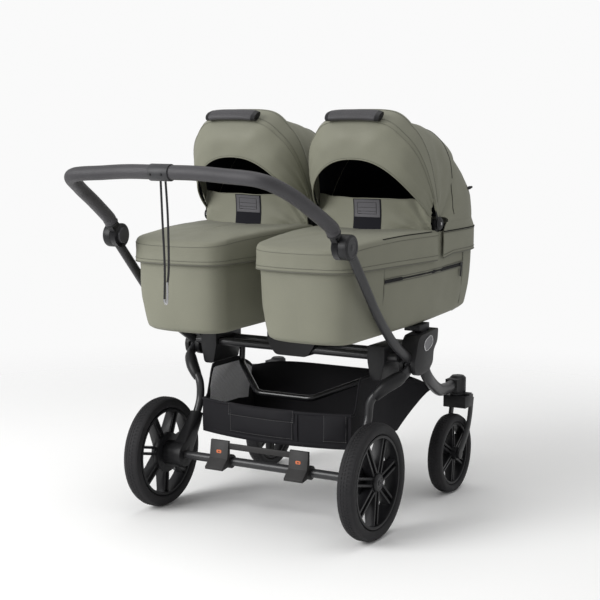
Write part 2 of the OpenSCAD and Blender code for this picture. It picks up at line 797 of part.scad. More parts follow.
module handle_bar() {
    right = curve(handle_half_route(), 5);
    left = [for (i = [0 : len(right) - 2]) [-right[i][0], right[i][1], right[i][2]]];
    path = concat(right, [for (i = [len(left) - 1 : -1 : 0]) left[i]]);
    color(leather_grey) skin(sweep_rings(path, [[bar_r, bar_r]], [0, 0, 1], 16));
}
module strap_collar() {
    color(plastic_black) difference() {
        along_x(-collar_w_bar / 2, collar_w_bar / 2, bar_mid_y, bar_z, bar_r + collar_t);
        along_x(-collar_w_bar, collar_w_bar, bar_mid_y, bar_z, bar_r + soft_gap);
    }
}
module wrist_strap() {
    top = bar_z - bar_r - collar_t - soft_gap;
    front = [for (s = strap_sway_shares) bar_mid_y + bar_r * s];
    drop = strap_l * strap_drop_shares;
    route = [for (i = [0 : 2]) [0, front[i], top - drop[i]]];
    back = [for (i = [2 : -1 : 0]) [0, front[i] + strap_gap, top - drop[i]]];
    color(cloth_black) {
        skin(sweep_rings(curve(route, 6), [[strap_t / 2, strap_w / 2]], [1, 0, 0], 8));
        skin(sweep_rings(curve(back, 6), [[strap_t / 2, strap_w / 2]], [1, 0, 0], 8));
        translate([-strap_w / 2, front[0] - strap_t / 2, top - strap_t])
            cube([strap_w, strap_gap + strap_t, strap_t]);
        translate([-strap_w / 2, front[2] - strap_t / 2, top - strap_l])
            cube([strap_w, strap_gap + strap_t, strap_t]);
    }
}
module hub_button_side(side) {
    color(plastic_grey) sided(side)
        along_x(hub_in - button_out, hub_in + button_deep, hub_y, hub_z, button_r);
}

// Carrycots
function plan_half() = curve(cot_plan_shares, 2);
function plan_ring_shares() =
    let (right = plan_half())
    concat(right, [for (i = [len(right) - 2 : -1 : 1]) [-right[i][0], right[i][1]]]);
function cot_rim_at(y) =
    cot_rim_z - rim_dip * pow(max(0, 1 - (y - cot_foot_y) / rim_run), 2);
function cot_floor_z(y) = lerp(cot_foot_bottom_z, cot_head_bottom_z, (y - cot_foot_y) / cot_l);
function cot_ring(level, wall) =
    [for (p = plan_ring_shares())
        let (
            y0 = cot_foot_y + cot_l * level[2] + wall,
            y1 = cot_foot_y + cot_l * (1 - level[3]) - wall,
            y = lerp(y0, y1, p[1]))
        [p[0] * (cot_half * level[1] - wall), y, lerp(cot_floor_z(y) + wall, cot_rim_at(y), level[0])]];
module cot_body_side(side) {
    last = len(cot_level_shares) - 1;
    outer = [for (level = cot_level_shares) cot_ring(level, 0)];
    inner = [for (i = [last : -1 : 0]) cot_ring(cot_level_shares[i], cot_wall)];
    color(olive) translate([side * cot_x, 0, 0]) skin(concat(outer, inner));
}
module cot_adapters_side(side) {
    low = cot_pad_z();
    y0 = peg_y - pad_l / 2;
    y1 = peg_y + pad_l / 2;
    outer = leg_x - cot_x;
    pads = [
        [y0, low], [y1, low], [y1, cot_floor_z(y1) - seat_gap], [y0, cot_floor_z(y0) - seat_gap]];
    color(plastic_black) translate([side * cot_x, 0, 0]) sided(side) {
        reach = cot_half * cot_level_shares[0][1];
        side_plate(reach - pad_w, outer + peg_w / 2, pads);
        translate([outer - peg_w / 2, peg_y - peg_l / 2, low - peg_h]) cube([peg_w, peg_l, peg_h + overrun]);
        inner_low = adapter_top + soft_gap;
        side_plate(-reach + soft_gap, pad_w - reach,
            [[y0, inner_low], [y1, inner_low], [y1, cot_floor_z(y1) - seat_gap], [y0, cot_floor_z(y0) - seat_gap]]);
    }
}
module hood_pivots_side(side) {
    rim = cot_level_shares[len(cot_level_shares) - 1];
    wall_x = cot_half * rim[1] - lug_t - overrun;
    color(plastic_black) translate([side * cot_x, 0, 0]) for (s = [-1, 1]) sided(s) {
        translate([wall_x, hood_y - lug_l / 2, cot_rim_z + seat_gap])
            cube([lug_t, lug_l, hood_z - cot_rim_z + lug_l / 2]);
        along_x(wall_x + lug_t - overrun, bow_half + soft_gap, hood_y, hood_z, hood_stud_r);
    }
}
function mattress_ring(width, lift) =
    [for (p = plan_ring_shares())
        let (
            level = cot_level_shares[1],
            inset = cot_wall + mattress_gap,
            y = lerp(cot_foot_y + cot_l * level[2] + inset, cot_foot_y + cot_l * (1 - level[3]) - inset,
                (1 + (2 * p[1] - 1) * width) / 2))
        [p[0] * (cot_half * level[1] - inset) * width, y, cot_floor_z(y) + cot_wall + soft_gap + lift]];
module mattress_side(side) {
    color(cloth_white) translate([side * cot_x, 0, 0])
        skin([for (l = mattress_level_shares) mattress_ring(l[0], mattress_h * l[1] + mattress_crown * l[2])]);
}
function hem_ring(z, wall) = [for (p = cover_ring(1, 0, wall, 0)) [p[0], p[1], z]];
function cover_ring(width, lift, wall, drop) =
    [for (p = plan_ring_shares())
        let (
            along = 2 * p[1] - 1,
            y = cot_foot_y + cot_l * (1 + along * lerp(1, width, cover_draw_share)) / 2,
            end = abs(along) > 2 * cover_end_share ? sign(along) : 0)
        [p[0] * (cot_half * width - wall), y - wall * end, cot_rim_at(y) + lift - drop]];
module cover(wall, drop, low) {
    skin(concat(
        [hem_ring(low, wall)],
        [for (l = cover_level_shares) cover_ring(l[1], cover_lift + cover_crown * l[0], wall, drop)]));
}
module apron_side(side) {
    low = cot_rim_z - skirt_h;
    span = 2 * cot_half;
    color(olive) translate([side * cot_x, 0, 0]) {
        difference() {
            cover(0, 0, low);
            cover(skirt_t, skirt_t, low - overrun);
            translate([-span, apron_end, low - overrun]) cube([2 * span, cot_l, 2 * span]);
            translate([-cot_half + apron_arm, apron_mouth_y, low - overrun])
                cube([2 * (cot_half - apron_arm), cot_l, 2 * span]);
        }
        wind_flap();
    }
}
function flap_line(back) =
    [for (k = [-flap_steps : flap_steps])
        let (s = k / flap_steps)
        [flap_half * s, apron_mouth_y - flap_t * flap_set_share + back + flap_bow * s * s]];
module wind_flap() {
    front = flap_line(0);
    rear = flap_line(flap_t);
    translate([0, 0, cot_rim_z + soft_gap]) linear_extrude(flap_h)
        polygon(concat(front, [for (i = [len(rear) - 1 : -1 : 0]) rear[i]]));
}

// Hoods
function hood_profile(half, r, a) =
    [r * pow(abs(sin(a)), hood_power_share), half * sign(cos(a)) * pow(abs(cos(a)), hood_power_share)];
function reach_turn(reach, r) = asin(pow(reach / r, 1 / hood_power_share));
function arch_turns(r) =
    let (start = reach_turn(hole_r, r), steps = 24)
    [for (k = [0 : steps]) lerp(start, 180 - start, k / steps)];
function hood_arch(half, r) = [for (a = arch_turns(r)) hood_profile(half, r, a)];
function crescent(half, r, wall) =
    let (inner = hood_arch(half - wall, r - wall))
    concat(hood_arch(half, r), [for (i = [len(inner) - 1 : -1 : 0]) inner[i]]);
module about_hinge(from, to) {
    translate([0, hood_y, hood_z]) rotate([-to, 0, 0]) rotate([0, 90, 0]) rotate([0, 0, 180])
        rotate_extrude(angle = to - from) children();
}
module hood_bow_side(side) {
    plate_x = bow_half - bow_t;
    root = hole_r * bow_root_share;
    color(olive) translate([side * cot_x, 0, 0]) {
        about_hinge(-bow_front, -bow_back) polygon(crescent(bow_half, bow_r, bow_t));
        about_hinge(-gore_front, gore_back) polygon(crescent(gore_half, gore_r, gore_t));
        for (s = [-1, 1]) sided(s) difference() {
            union() {
                along_x(plate_x, bow_half, hood_y, hood_z, hood_eye_r);
                side_plate(plate_x, bow_half, [
                    [hood_y, hood_z],
                    [hood_y - root * sin(bow_front), hood_z + root * cos(bow_front)],
                    [hood_y - root * sin(bow_back), hood_z + root * cos(bow_back)]]);
            }
            along_x(plate_x - overrun, bow_half + overrun, hood_y, hood_z, hood_stud_r + run_gap);
        }
    }
}
function bow_reach(x) = bow_r * pow(1 - pow(abs(x) / bow_half, 2 / hood_power_share), hood_power_share / 2);
function hinge_point(x, r, turn) = [x, hood_y - r * sin(turn), hood_z + r * cos(turn)];
function visor_ring(a) =
    let (
        top = hood_profile(bow_half, bow_r, a),
        edge = hood_profile(bow_half - visor_bulge, visor_r, a),
        turn = visor_turn + visor_sag_turn * pow(abs(cos(a)), 2),
        p = hinge_point(top[1], top[0], bow_front + visor_lap_turn),
        q = hinge_point(edge[1], edge[0], turn),
        m = (p + q) / 2 + unit(visor_out) * visor_bulge * sin(a),
        in = visor_t * [0, visor_in_shares[0], -visor_in_shares[1]],
        under = hinge_point(top[1], top[0] - visor_t, bow_front + visor_lap_turn))
    [p, m, q, q + in, m + in, under];
module hood_visor_side(side) {
    steps = 28;
    color(olive) translate([side * cot_x, 0, 0])
        skin([for (k = [0 : steps]) visor_ring(lerp(180 - visor_start, visor_start, k / steps))]);
}
module hood_grip_side(side) {
    half = grip_r * grip_half_shares;
    lift = half[1] + 2 * soft_gap;
    route = [for (s = grip_route_shares)
        let (x = grip_w / 2 * s)
        hinge_point(x, bow_reach(x) + lift, grip_turn)];
    color(leather_grey) translate([side * cot_x, 0, 0])
        skin(sweep_rings(curve(route, 5), [half], hinge_point(0, 1, grip_turn) - hinge_point(0, 0, grip_turn), 14));
}
function skirt_point(p, z) = [p[1], hood_y + p[0], z];
function skirt_edge(half, reach, a) =
    let (share = pow(abs(sin(a)), hood_power_share))
    [reach * share,
     half * sign(cos(a)) * pow(max(0, 1 - pow(share, 2 / skirt_power_share)), skirt_power_share / 2)];
function skirt_ring(a) =
    let (
        low = cot_rim_z - hood_skirt_h,
        reach = cot_foot_y + cot_l - hood_y,
        top_in = hood_profile(canopy_half + soft_gap, canopy_r + soft_gap, a),
        top_out = hood_profile(canopy_half + soft_gap + skirt_t, canopy_r + soft_gap + skirt_t, a),
        edge_in = skirt_edge(cot_half - skirt_t, reach - skirt_t, a),
        edge_out = skirt_edge(cot_half, reach, a))
    [
        skirt_point(top_out, hood_z + skirt_t), skirt_point(edge_out, cot_rim_z), skirt_point(edge_out, low),
        skirt_point(edge_in, low), skirt_point(edge_in, cot_rim_z), skirt_point(top_in, hood_z + skirt_t)
    ];
module hood_canopy_side(side) {
    start = reach_turn(hood_skirt_ahead, canopy_r);
    turns = concat([start], arch_turns(canopy_r), [180 - start]);
    color(olive) translate([side * cot_x, 0, 0]) {
        about_hinge(canopy_front, canopy_back) polygon(crescent(canopy_half, canopy_r, gore_t));
        skin([for (a = turns) skirt_ring(a)]);
    }
}

// Basket
function basket_brim_z(y) =
    y < basket_rise_y0 ? basket_top_z
    : y < basket_rise_y1
        ? lerp(basket_top_z, basket_side_z, (y - basket_rise_y0) / (basket_rise_y1 - basket_rise_y0))
    : y < cross_y[1] ? basket_side_z
    : lerp(basket_side_z, basket_front_z, (y - cross_y[1]) / (basket_mouth_y - cross_y[1]));
function basket_half_ring(t, wall) =
    let (
        half = basket_w / 2 - wall,
        flare = (basket_front_w - basket_w) / 2 * t,
        y0 = basket_y0 + basket_bow + wall,
        y1 = lerp(basket_y1, basket_mouth_y, t) - wall)
    concat(
        [for (k = [0 : 3]) [half * k / 4, y0 - basket_bow * (1 - pow(k / 4, 2))]],
        [for (k = [0 : 12]) let (s = k / 12)
            [half + flare * pow(max(0, (s - basket_flare_share) / (1 - basket_flare_share)), 2), lerp(y0, y1, s)]],
        [for (k = [1 : 4]) [(half + flare) * (1 - k / 4), y1 + basket_nose * (1 - pow(1 - k / 4, 2))]]);
function basket_ring(t, wall) =
    let (right = basket_half_ring(t, wall), last = len(right) - 1)
    [for (p = concat(right, [for (i = [last - 1 : -1 : 1]) [-right[i][0], right[i][1]]]))
        [p[0], p[1], lerp(basket_floor_z + wall, basket_brim_z(p[1]), t)]];
module basket() {
    color(cloth_black) skin([
        basket_ring(0, 0), basket_ring(0.5, 0), basket_ring(1, 0),
        basket_ring(1, basket_wall), basket_ring(0.5, basket_wall), basket_ring(0, basket_wall)]);
}

placed() side_bracket_side(-1);  // side_bracket_left
placed() side_bracket_side(1);  // side_bracket_right
placed() inner_housings();
placed() cross_tubes();
placed() centre_adapter();
placed() lower_tube_side(-1);  // lower_tube_left
placed() lower_tube_side(1);  // lower_tube_right
placed() hub_cases();
placed() front_leg_side(-1);  // front_leg_left
placed() front_leg_side(1);  // front_leg_right
placed() castor_head_side(-1);  // castor_head_left
placed() castor_head_side(1);  // castor_head_right
placed() basket_hoop();
placed() basket();
placed() rear_leg_side(-1);  // rear_leg_left
placed() rear_leg_side(1);  // rear_leg_right
placed() suspension_side(-1);  // suspension_left
placed() suspension_side(1);  // suspension_right
placed() rear_axle();
placed() brake_pedal_side(-1);  // brake_pedal_left
placed() brake_pedal_side(1);  // brake_pedal_right
placed() brake_link();
placed() rear_tyre_side(-1);  // rear_tyre_left
placed() rear_tyre_side(1);  // rear_tyre_right
placed() rear_rim_side(-1);  // rear_rim_left
placed() rear_rim_side(1);  // rear_rim_right
placed() rear_cap_side(-1);  // rear_cap_left
placed() rear_cap_side(1);  // rear_cap_right
placed() castor_fork_side(-1);  // castor_fork_left
placed() castor_fork_side(1);  // castor_fork_right
placed() swivel_lock_side(-1);  // swivel_lock_left
placed() swivel_lock_side(1);  // swivel_lock_right
placed() front_tyre_side(-1);  // front_tyre_left
placed() front_tyre_side(1);  // front_tyre_right
placed() front_rim_side(-1);  // front_rim_left
placed() front_rim_side(1);  // front_rim_right
placed() handle_bar();
placed() handle_knuckles();
placed() strap_collar();
placed() wrist_strap();
placed() hub_button_side(-1);  // hub_button_left
placed() hub_button_side(1);  // hub_button_right
placed() cot_body_side(-1);  // cot_body_left
placed() cot_body_side(1);  // cot_body_right
placed() cot_adapters_side(-1);  // cot_adapters_left
placed() cot_adapters_side(1);  // cot_adapters_right
placed() hood_pivots_side(-1);  // hood_pivots_left
placed() hood_pivots_side(1);  // hood_pivots_right
placed() mattress_side(-1);  // mattress_left
placed() mattress_side(1);  // mattress_right
placed() apron_side(-1);  // apron_left
placed() apron_side(1);  // apron_right
placed() hood_canopy_side(-1);  // hood_canopy_left
placed() hood_canopy_side(1);  // hood_canopy_right
placed() hood_bow_side(-1);  // hood_bow_left
placed() hood_bow_side(1);  // hood_bow_right
placed() hood_visor_side(-1);  // hood_visor_left
placed() hood_visor_side(1);  // hood_visor_right
placed() hood_grip_side(-1);  // hood_grip_left
placed() hood_grip_side(1);  // hood_grip_right
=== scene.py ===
"""Looks of a side-by-side twin pram: soft goods, tubes, wheels and studio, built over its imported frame."""

import logging
import math
from dataclasses import dataclass
from enum import Enum
from typing import Iterable, Optional, Sequence

import bmesh
import bpy
import numpy as np
from mathutils import Matrix, Vector, noise


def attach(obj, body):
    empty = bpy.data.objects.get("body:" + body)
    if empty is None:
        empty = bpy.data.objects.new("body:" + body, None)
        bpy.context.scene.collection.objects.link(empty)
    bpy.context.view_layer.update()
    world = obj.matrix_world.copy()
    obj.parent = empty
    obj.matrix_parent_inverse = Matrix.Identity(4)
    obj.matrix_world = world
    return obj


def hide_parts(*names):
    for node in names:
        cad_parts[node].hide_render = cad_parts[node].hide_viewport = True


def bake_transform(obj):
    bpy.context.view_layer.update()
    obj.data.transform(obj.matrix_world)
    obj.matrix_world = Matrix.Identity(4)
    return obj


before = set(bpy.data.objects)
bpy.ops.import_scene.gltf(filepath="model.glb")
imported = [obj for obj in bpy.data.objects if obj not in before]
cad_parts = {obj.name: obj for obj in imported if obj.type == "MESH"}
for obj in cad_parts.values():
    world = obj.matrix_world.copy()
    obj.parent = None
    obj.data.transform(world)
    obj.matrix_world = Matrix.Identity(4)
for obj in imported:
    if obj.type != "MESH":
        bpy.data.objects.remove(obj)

LOG = logging.getLogger("twin_pram")
# The source's rear axle lies this far behind the frame's origin, in millimetres
MIDDLE_Y = 91.5
Colour = tuple[float, float, float]
Grid = np.ndarray
Object = bpy.types.Object
Material = bpy.types.Material
Tree = bpy.types.NodeTree
Node = bpy.types.Node
Socket = bpy.types.NodeSocket


class Side(Enum):
    """The pusher's left or right."""

    LEFT = -1
    RIGHT = 1

    @property
    def tag(self) -> str:
        """The side's word in node and body names."""
        return self.name.lower()


class Texture(Enum):
    """How a finish is worked on its surface."""

    WEAVE = "weave"
    NET = "net"
    LEATHER = "leather"
    SPARK = "spark"
    RUBBER = "rubber"
    SATIN = "satin"


def to_row(points: Sequence) -> np.ndarray:
    """Turn source millimetres into the frame's metres.

    Args:
        points: Points measured from the rear axle, in millimetres.

    Returns:
        The same points in the row frame, in metres.
    """
    return (np.asarray(points, float) - (0.0, MIDDLE_Y, 0.0)) / 1000.0


def spline(points: Sequence, steps: int) -> np.ndarray:
    """Run a smooth curve through points.

    Args:
        points: The points it passes through.
        steps: Samples for each span.

    Returns:
        The sampled curve, ends included.
    """
    p = np.asarray(points, float)
    last = len(p) - 1
    found = []
    for i in range(last):
        a, b, c, d = p[max(i - 1, 0)], p[i], p[i + 1], p[min(i + 2, last)]
        for k in range(steps):
            t = k / steps
            found.append(b + (c - a) * t / 2 + (2 * a - 5 * b + 4 * c - d) * t * t / 2
                         + (3 * b - a - 3 * c + d) * t ** 3 / 2)
    return np.array(found + [p[last]])


def bent(points: Sequence, reach: float, steps: int) -> np.ndarray:
    """Round the corners of a route as a tube bender does.

    Args:
        points: Corners of the route.
        reach: How far before and after a corner the bend runs.
        steps: Samples in each bend.

    Returns:
        The route with rounded corners.
    """
    p = np.asarray(points, float)
    found = [p[0]]
    for a, b, c in zip(p, p[1:], p[2:]):
        s = b + unit(a - b) * reach
        e = b + unit(c - b) * reach
        for k in range(steps + 1):
            t = k / steps
            found.append((1 - t) ** 2 * s + 2 * t * (1 - t) * b + t * t * e)
    return np.array(found + [p[-1]])


def unit(v: np.ndarray) -> np.ndarray:
    """Scale a vector to a length of one."""
    return v / np.linalg.norm(v)


def lerp(a: float, b: float, t: float) -> float:
    """Go a share of the way from one value to another."""
    return a + (b - a) * t


def ease(x: float, low: float, high: float) -> float:
    """Rise smoothly from 0 at low to 1 at high."""
    t = min(max((x - low) / (high - low), 0.0), 1.0)
    return t * t * (3 - 2 * t)


def ripple(x: float, y: float, z: float, size: float, seed: float = 0.0) -> float:
    """Give a smooth fixed noise from -1 to 1 for a point, with waves of about the given size."""
    return noise.noise(Vector((x / size + seed, y / size - seed, z / size + 2 * seed)))


def around(count: int) -> np.ndarray:
    """Give even turns round a circle."""
    return np.linspace(0, 2 * math.pi, count, endpoint=False)


def swung(x: float, power: float) -> float:
    """Raise a number to a power and keep its sign."""
    return math.copysign(abs(x) ** power, x)


def wire(tree: Tree, *pairs: tuple[Socket, Socket]) -> None:
    """Link sockets of a node tree, each pair from an output to an input."""
    for source, target in pairs:
        tree.links.new(source, target)


def tune(node: Node, values: dict[str, object]) -> None:
    """Set inputs of a node by name."""
    for key, value in values.items():
        node.inputs[key].default_value = value


def sweep(path: Sequence, halves: Sequence, ref: Sequence, sides: int) -> Grid:
    """Lay oval rings along a path.

    Args:
        path: Points along the middle.
        halves: One pair of half sizes, or a pair for each point.
        ref: Direction that the second half size lies along, as near as it can.
        sides: Points in a ring.

    Returns:
        Rings of points, one row for each point of the path.
    """
    p = np.asarray(path, float)
    h = np.broadcast_to(np.asarray(halves, float), (len(p), 2))
    turns = around(sides)
    rings = []
    for i, c in enumerate(p):
        t = unit(p[min(i + 1, len(p) - 1)] - p[max(i - 1, 0)])
        u = unit(np.cross(ref, t))
        v = np.cross(t, u)
        rings.append(c + np.outer(h[i][0] * np.cos(turns), u) + np.outer(h[i][1] * np.sin(turns), v))
    return np.array(rings)


def revolve(profile: Sequence, centre: Sequence, steps: int) -> Grid:
    """Turn a profile about an axle that runs along X.

    Args:
        profile: Points as (radius, distance along the axle).
        centre: Point on the axle.
        steps: Rows round the axle.

    Returns:
        Rows of points, one for each turn.
    """
    p = np.asarray(profile, float)
    rows = []
    for turn in around(steps):
        rows.append(np.column_stack((p[:, 1], p[:, 0] * math.cos(turn), p[:, 0] * math.sin(turn))) + np.asarray(centre))
    return np.array(rows)


def mirrored(points: Sequence, side: Side) -> np.ndarray:
    """Take points of the right side over to the given side."""
    return np.asarray(points, float) * (side.value, 1.0, 1.0)


def link(name: str, mesh: bpy.types.Mesh, materials: Sequence[Material]) -> Object:
    """Put a mesh into the scene as an object at the origin.

    Args:
        name: Name of the new object.
        mesh: Its mesh.
        materials: Materials for its slots, in order.

    Returns:
        The new object.
    """
    mesh.materials.clear()
    for m in materials:
        mesh.materials.append(m)
    obj = bpy.data.objects.new(name, mesh)
    bpy.context.scene.collection.objects.link(obj)
    return obj


def settle(obj: Object) -> Object:
    """Turn an object's modifiers into plain mesh.

    Args:
        obj: A mesh object with live modifiers.

    Returns:
        The same object, with its modifiers gone.
    """
    bpy.context.view_layer.update()
    graph = bpy.context.evaluated_depsgraph_get()
    mesh = bpy.data.meshes.new_from_object(obj.evaluated_get(graph), preserve_all_data_layers=True, depsgraph=graph)
    old = obj.data
    obj.modifiers.clear()
    obj.data = mesh
    mesh.name = obj.name
    bpy.data.meshes.remove(old)
    return obj


def shade(obj: Object, angle: float = 40.0) -> Object:
    """Shade an object smooth, with edges sharper than an angle kept.

    Args:
        obj: Mesh object to shade.
        angle: Sharpest edge that is still smooth, in degrees.

    Returns:
        The same object.
    """
    obj.data.shade_smooth()
    obj.data.set_sharp_from_angle(angle=math.radians(angle))
    return obj


def surface(name: str, rows: Grid, materials: Sequence[Material], wrap: bool = False, loop: bool = False,
            cap: bool = False, away: Optional[Sequence] = None, wall: float = 0.0,
            smooth: float = 45.0) -> Object:
    """Make a mesh from rows of points, with a UV map in metres along the surface.

    Args:
        name: Name of the new object.
        rows: Grid of points in source millimetres.
        materials: Outer material first, then the inner one where there is a wall.
        wrap: The last column joins the first.
        loop: The last row joins the first.
        cap: The first and last rows are closed with a face.
        away: Point that an open sheet faces away from.
        wall: Thickness given inwards, in millimetres.
        smooth: Sharpest edge shaded smooth, in degrees.

    Returns:
        The new object.
    """
    p = np.asarray(rows, float)
    n, m, _ = p.shape
    us = np.concatenate(([0],
                         np.cumsum(np.linalg.norm(np.diff(np.concatenate((p, p[:, :1]), 1), axis=1), axis=2).mean(0))))
    vs = np.concatenate(([0],
                         np.cumsum(np.linalg.norm(np.diff(np.concatenate((p, p[:1]), 0), axis=0), axis=2).mean(1))))
    faces, corners = [], []
    for i in range(n if loop else n - 1):
        for j in range(m if wrap else m - 1):
            quad = [(i, j), (i, j + 1), (i + 1, j + 1), (i + 1, j)]
            faces.append([(a % n) * m + b % m for a, b in quad])
            corners.append([(us[b] / 1000, vs[a] / 1000) for a, b in quad])
    if cap:
        for i, order in ((0, range(m - 1, -1, -1)), (n - 1, range(m))):
            faces.append([i * m + j for j in order])
            corners.append([(p[i, j, 0] / 1000, p[i, j, 1] / 1000) for j in order])
    flat = to_row(p.reshape(-1, 3))
    if turned_in(flat, faces, None if away is None else to_row([away])[0]):
        faces = [f[::-1] for f in faces]
        corners = [c[::-1] for c in corners]
    mesh = bpy.data.meshes.new(name)
    mesh.from_pydata(flat.tolist(), [], faces)
    layer = mesh.uv_layers.new(name="UVMap")
    layer.data.foreach_set("uv", [x for c in corners for uv in c for x in uv])
    obj = link(name, mesh, materials)
    tidy(obj)
    if wall:
        thick = obj.modifiers.new("Wall", "SOLIDIFY")
        thick.thickness = wall / 1000
        thick.offset = -1
        thick.thickness_clamp = 1.0
        thick.material_offset = len(materials) - 1
        settle(obj)
    return shade(obj, smooth)


def turned_in(points: np.ndarray, faces: Sequence, away: Optional[np.ndarray]) -> bool:
    """Find whether faces point inwards.

    Args:
        points: Vertices in metres.
        faces: Vertex numbers of each face.
        away: Point that they should face away from, or None for a closed shape.

    Returns:
        True if the faces have to be turned round.
    """
    total = 0.0
    for f in faces:
        a = points[f[0]]
        for b, c in zip(f[1:], f[2:]):
            normal = np.cross(points[b] - a, points[c] - a)
            total += float(normal @ (a - (0 if away is None else away)))
    return total < 0


def tidy(obj: Object) -> None:
    """Merge points that lie together and drop faces without area."""
    bm = bmesh.new()
    bm.from_mesh(obj.data)
    bmesh.ops.remove_doubles(bm, verts=bm.verts, dist=2e-5)
    thin = [f for f in bm.faces if f.calc_area() < 1e-9]
    bmesh.ops.delete(bm, geom=thin, context="FACES")
    bmesh.ops.delete(bm, geom=[v for v in bm.verts if not v.link_faces], context="VERTS")
    bm.to_mesh(obj.data)
    bm.free()


def tube(name: str, path: Sequence, halves: Sequence, ref: Sequence, material: Material,
         sides: int = 20) -> Object:
    """Make a closed tube or cord along a path, as sweep() lays it.

    Args:
        name: Name of the new object.
        path: Points along its middle, in source millimetres.
        halves: One pair of half sizes, or a pair for each point.
        ref: Direction of the second half size.
        material: Its material.
        sides: Points round it.

    Returns:
        The new object.
    """
    return surface(name, sweep(path, halves, ref, sides), [material], wrap=True, cap=True, smooth=50)


def softened(node: str, name: str, round_mm: float, material: Material) -> Object:
    """Copy a rigid node with its moulded edges rounded, to stand for it.

    Args:
        node: The node that is copied.
        name: Name of the new object.
        round_mm: Width of the rounding, in millimetres.
        material: Its material.

    Returns:
        The new object.
    """
    bm = bmesh.new()
    bm.from_mesh(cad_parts[node].data)
    bmesh.ops.remove_doubles(bm, verts=bm.verts, dist=2e-5)
    bmesh.ops.dissolve_limit(bm, angle_limit=math.radians(0.6), verts=bm.verts, edges=bm.edges)
    mesh = bpy.data.meshes.new(name)
    bm.to_mesh(mesh)
    bm.free()
    obj = link(name, mesh, [material])
    edge = obj.modifiers.new("Edge", "BEVEL")
    edge.width = round_mm / 1000
    edge.segments = 2
    edge.limit_method = "ANGLE"
    edge.angle_limit = math.radians(38)
    edge.use_clamp_overlap = True
    settle(obj)
    return shade(obj, 42)


def joined(first: Object, *others: Object) -> Object:
    """Join objects into the first one, which keeps its name.

    Args:
        first: Mesh object that the others go into.
        others: Mesh objects, none of them riding on a body yet.

    Returns:
        The joined object.
    """
    if others:
        with bpy.context.temp_override(active_object=first, selected_editable_objects=[first, *others]):
            bpy.ops.object.join()
    first.data.name = first.name
    return first


def place(obj: Object, body: str, slot: str = "", *nodes: str) -> Object:
    """Let a piece ride on a body, and hide the nodes that it stands for.

    Args:
        obj: The piece.
        body: Body that it moves with.
        slot: Material slot of the record, or nothing; not used.
        nodes: Nodes that it replaces.

    Returns:
        The same piece.
    """
    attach(obj, body)
    if nodes:
        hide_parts(*nodes)
    LOG.info("%s rides on %s", obj.name, body)
    return obj


def line_mesh(name: str, paths: Iterable[np.ndarray]) -> Object:
    """Make an object of bare edges along paths, for Geometry Nodes to follow.

    Args:
        name: Name of the new object.
        paths: Routes in source millimetres.

    Returns:
        The new object.
    """
    points, edges = [], []
    for path in paths:
        first = len(points)
        points += to_row(path).tolist()
        edges += [(first + k, first + k + 1) for k in range(len(path) - 1)]
    mesh = bpy.data.meshes.new(name)
    mesh.from_pydata(points, edges, [])
    return link(name, mesh, [])


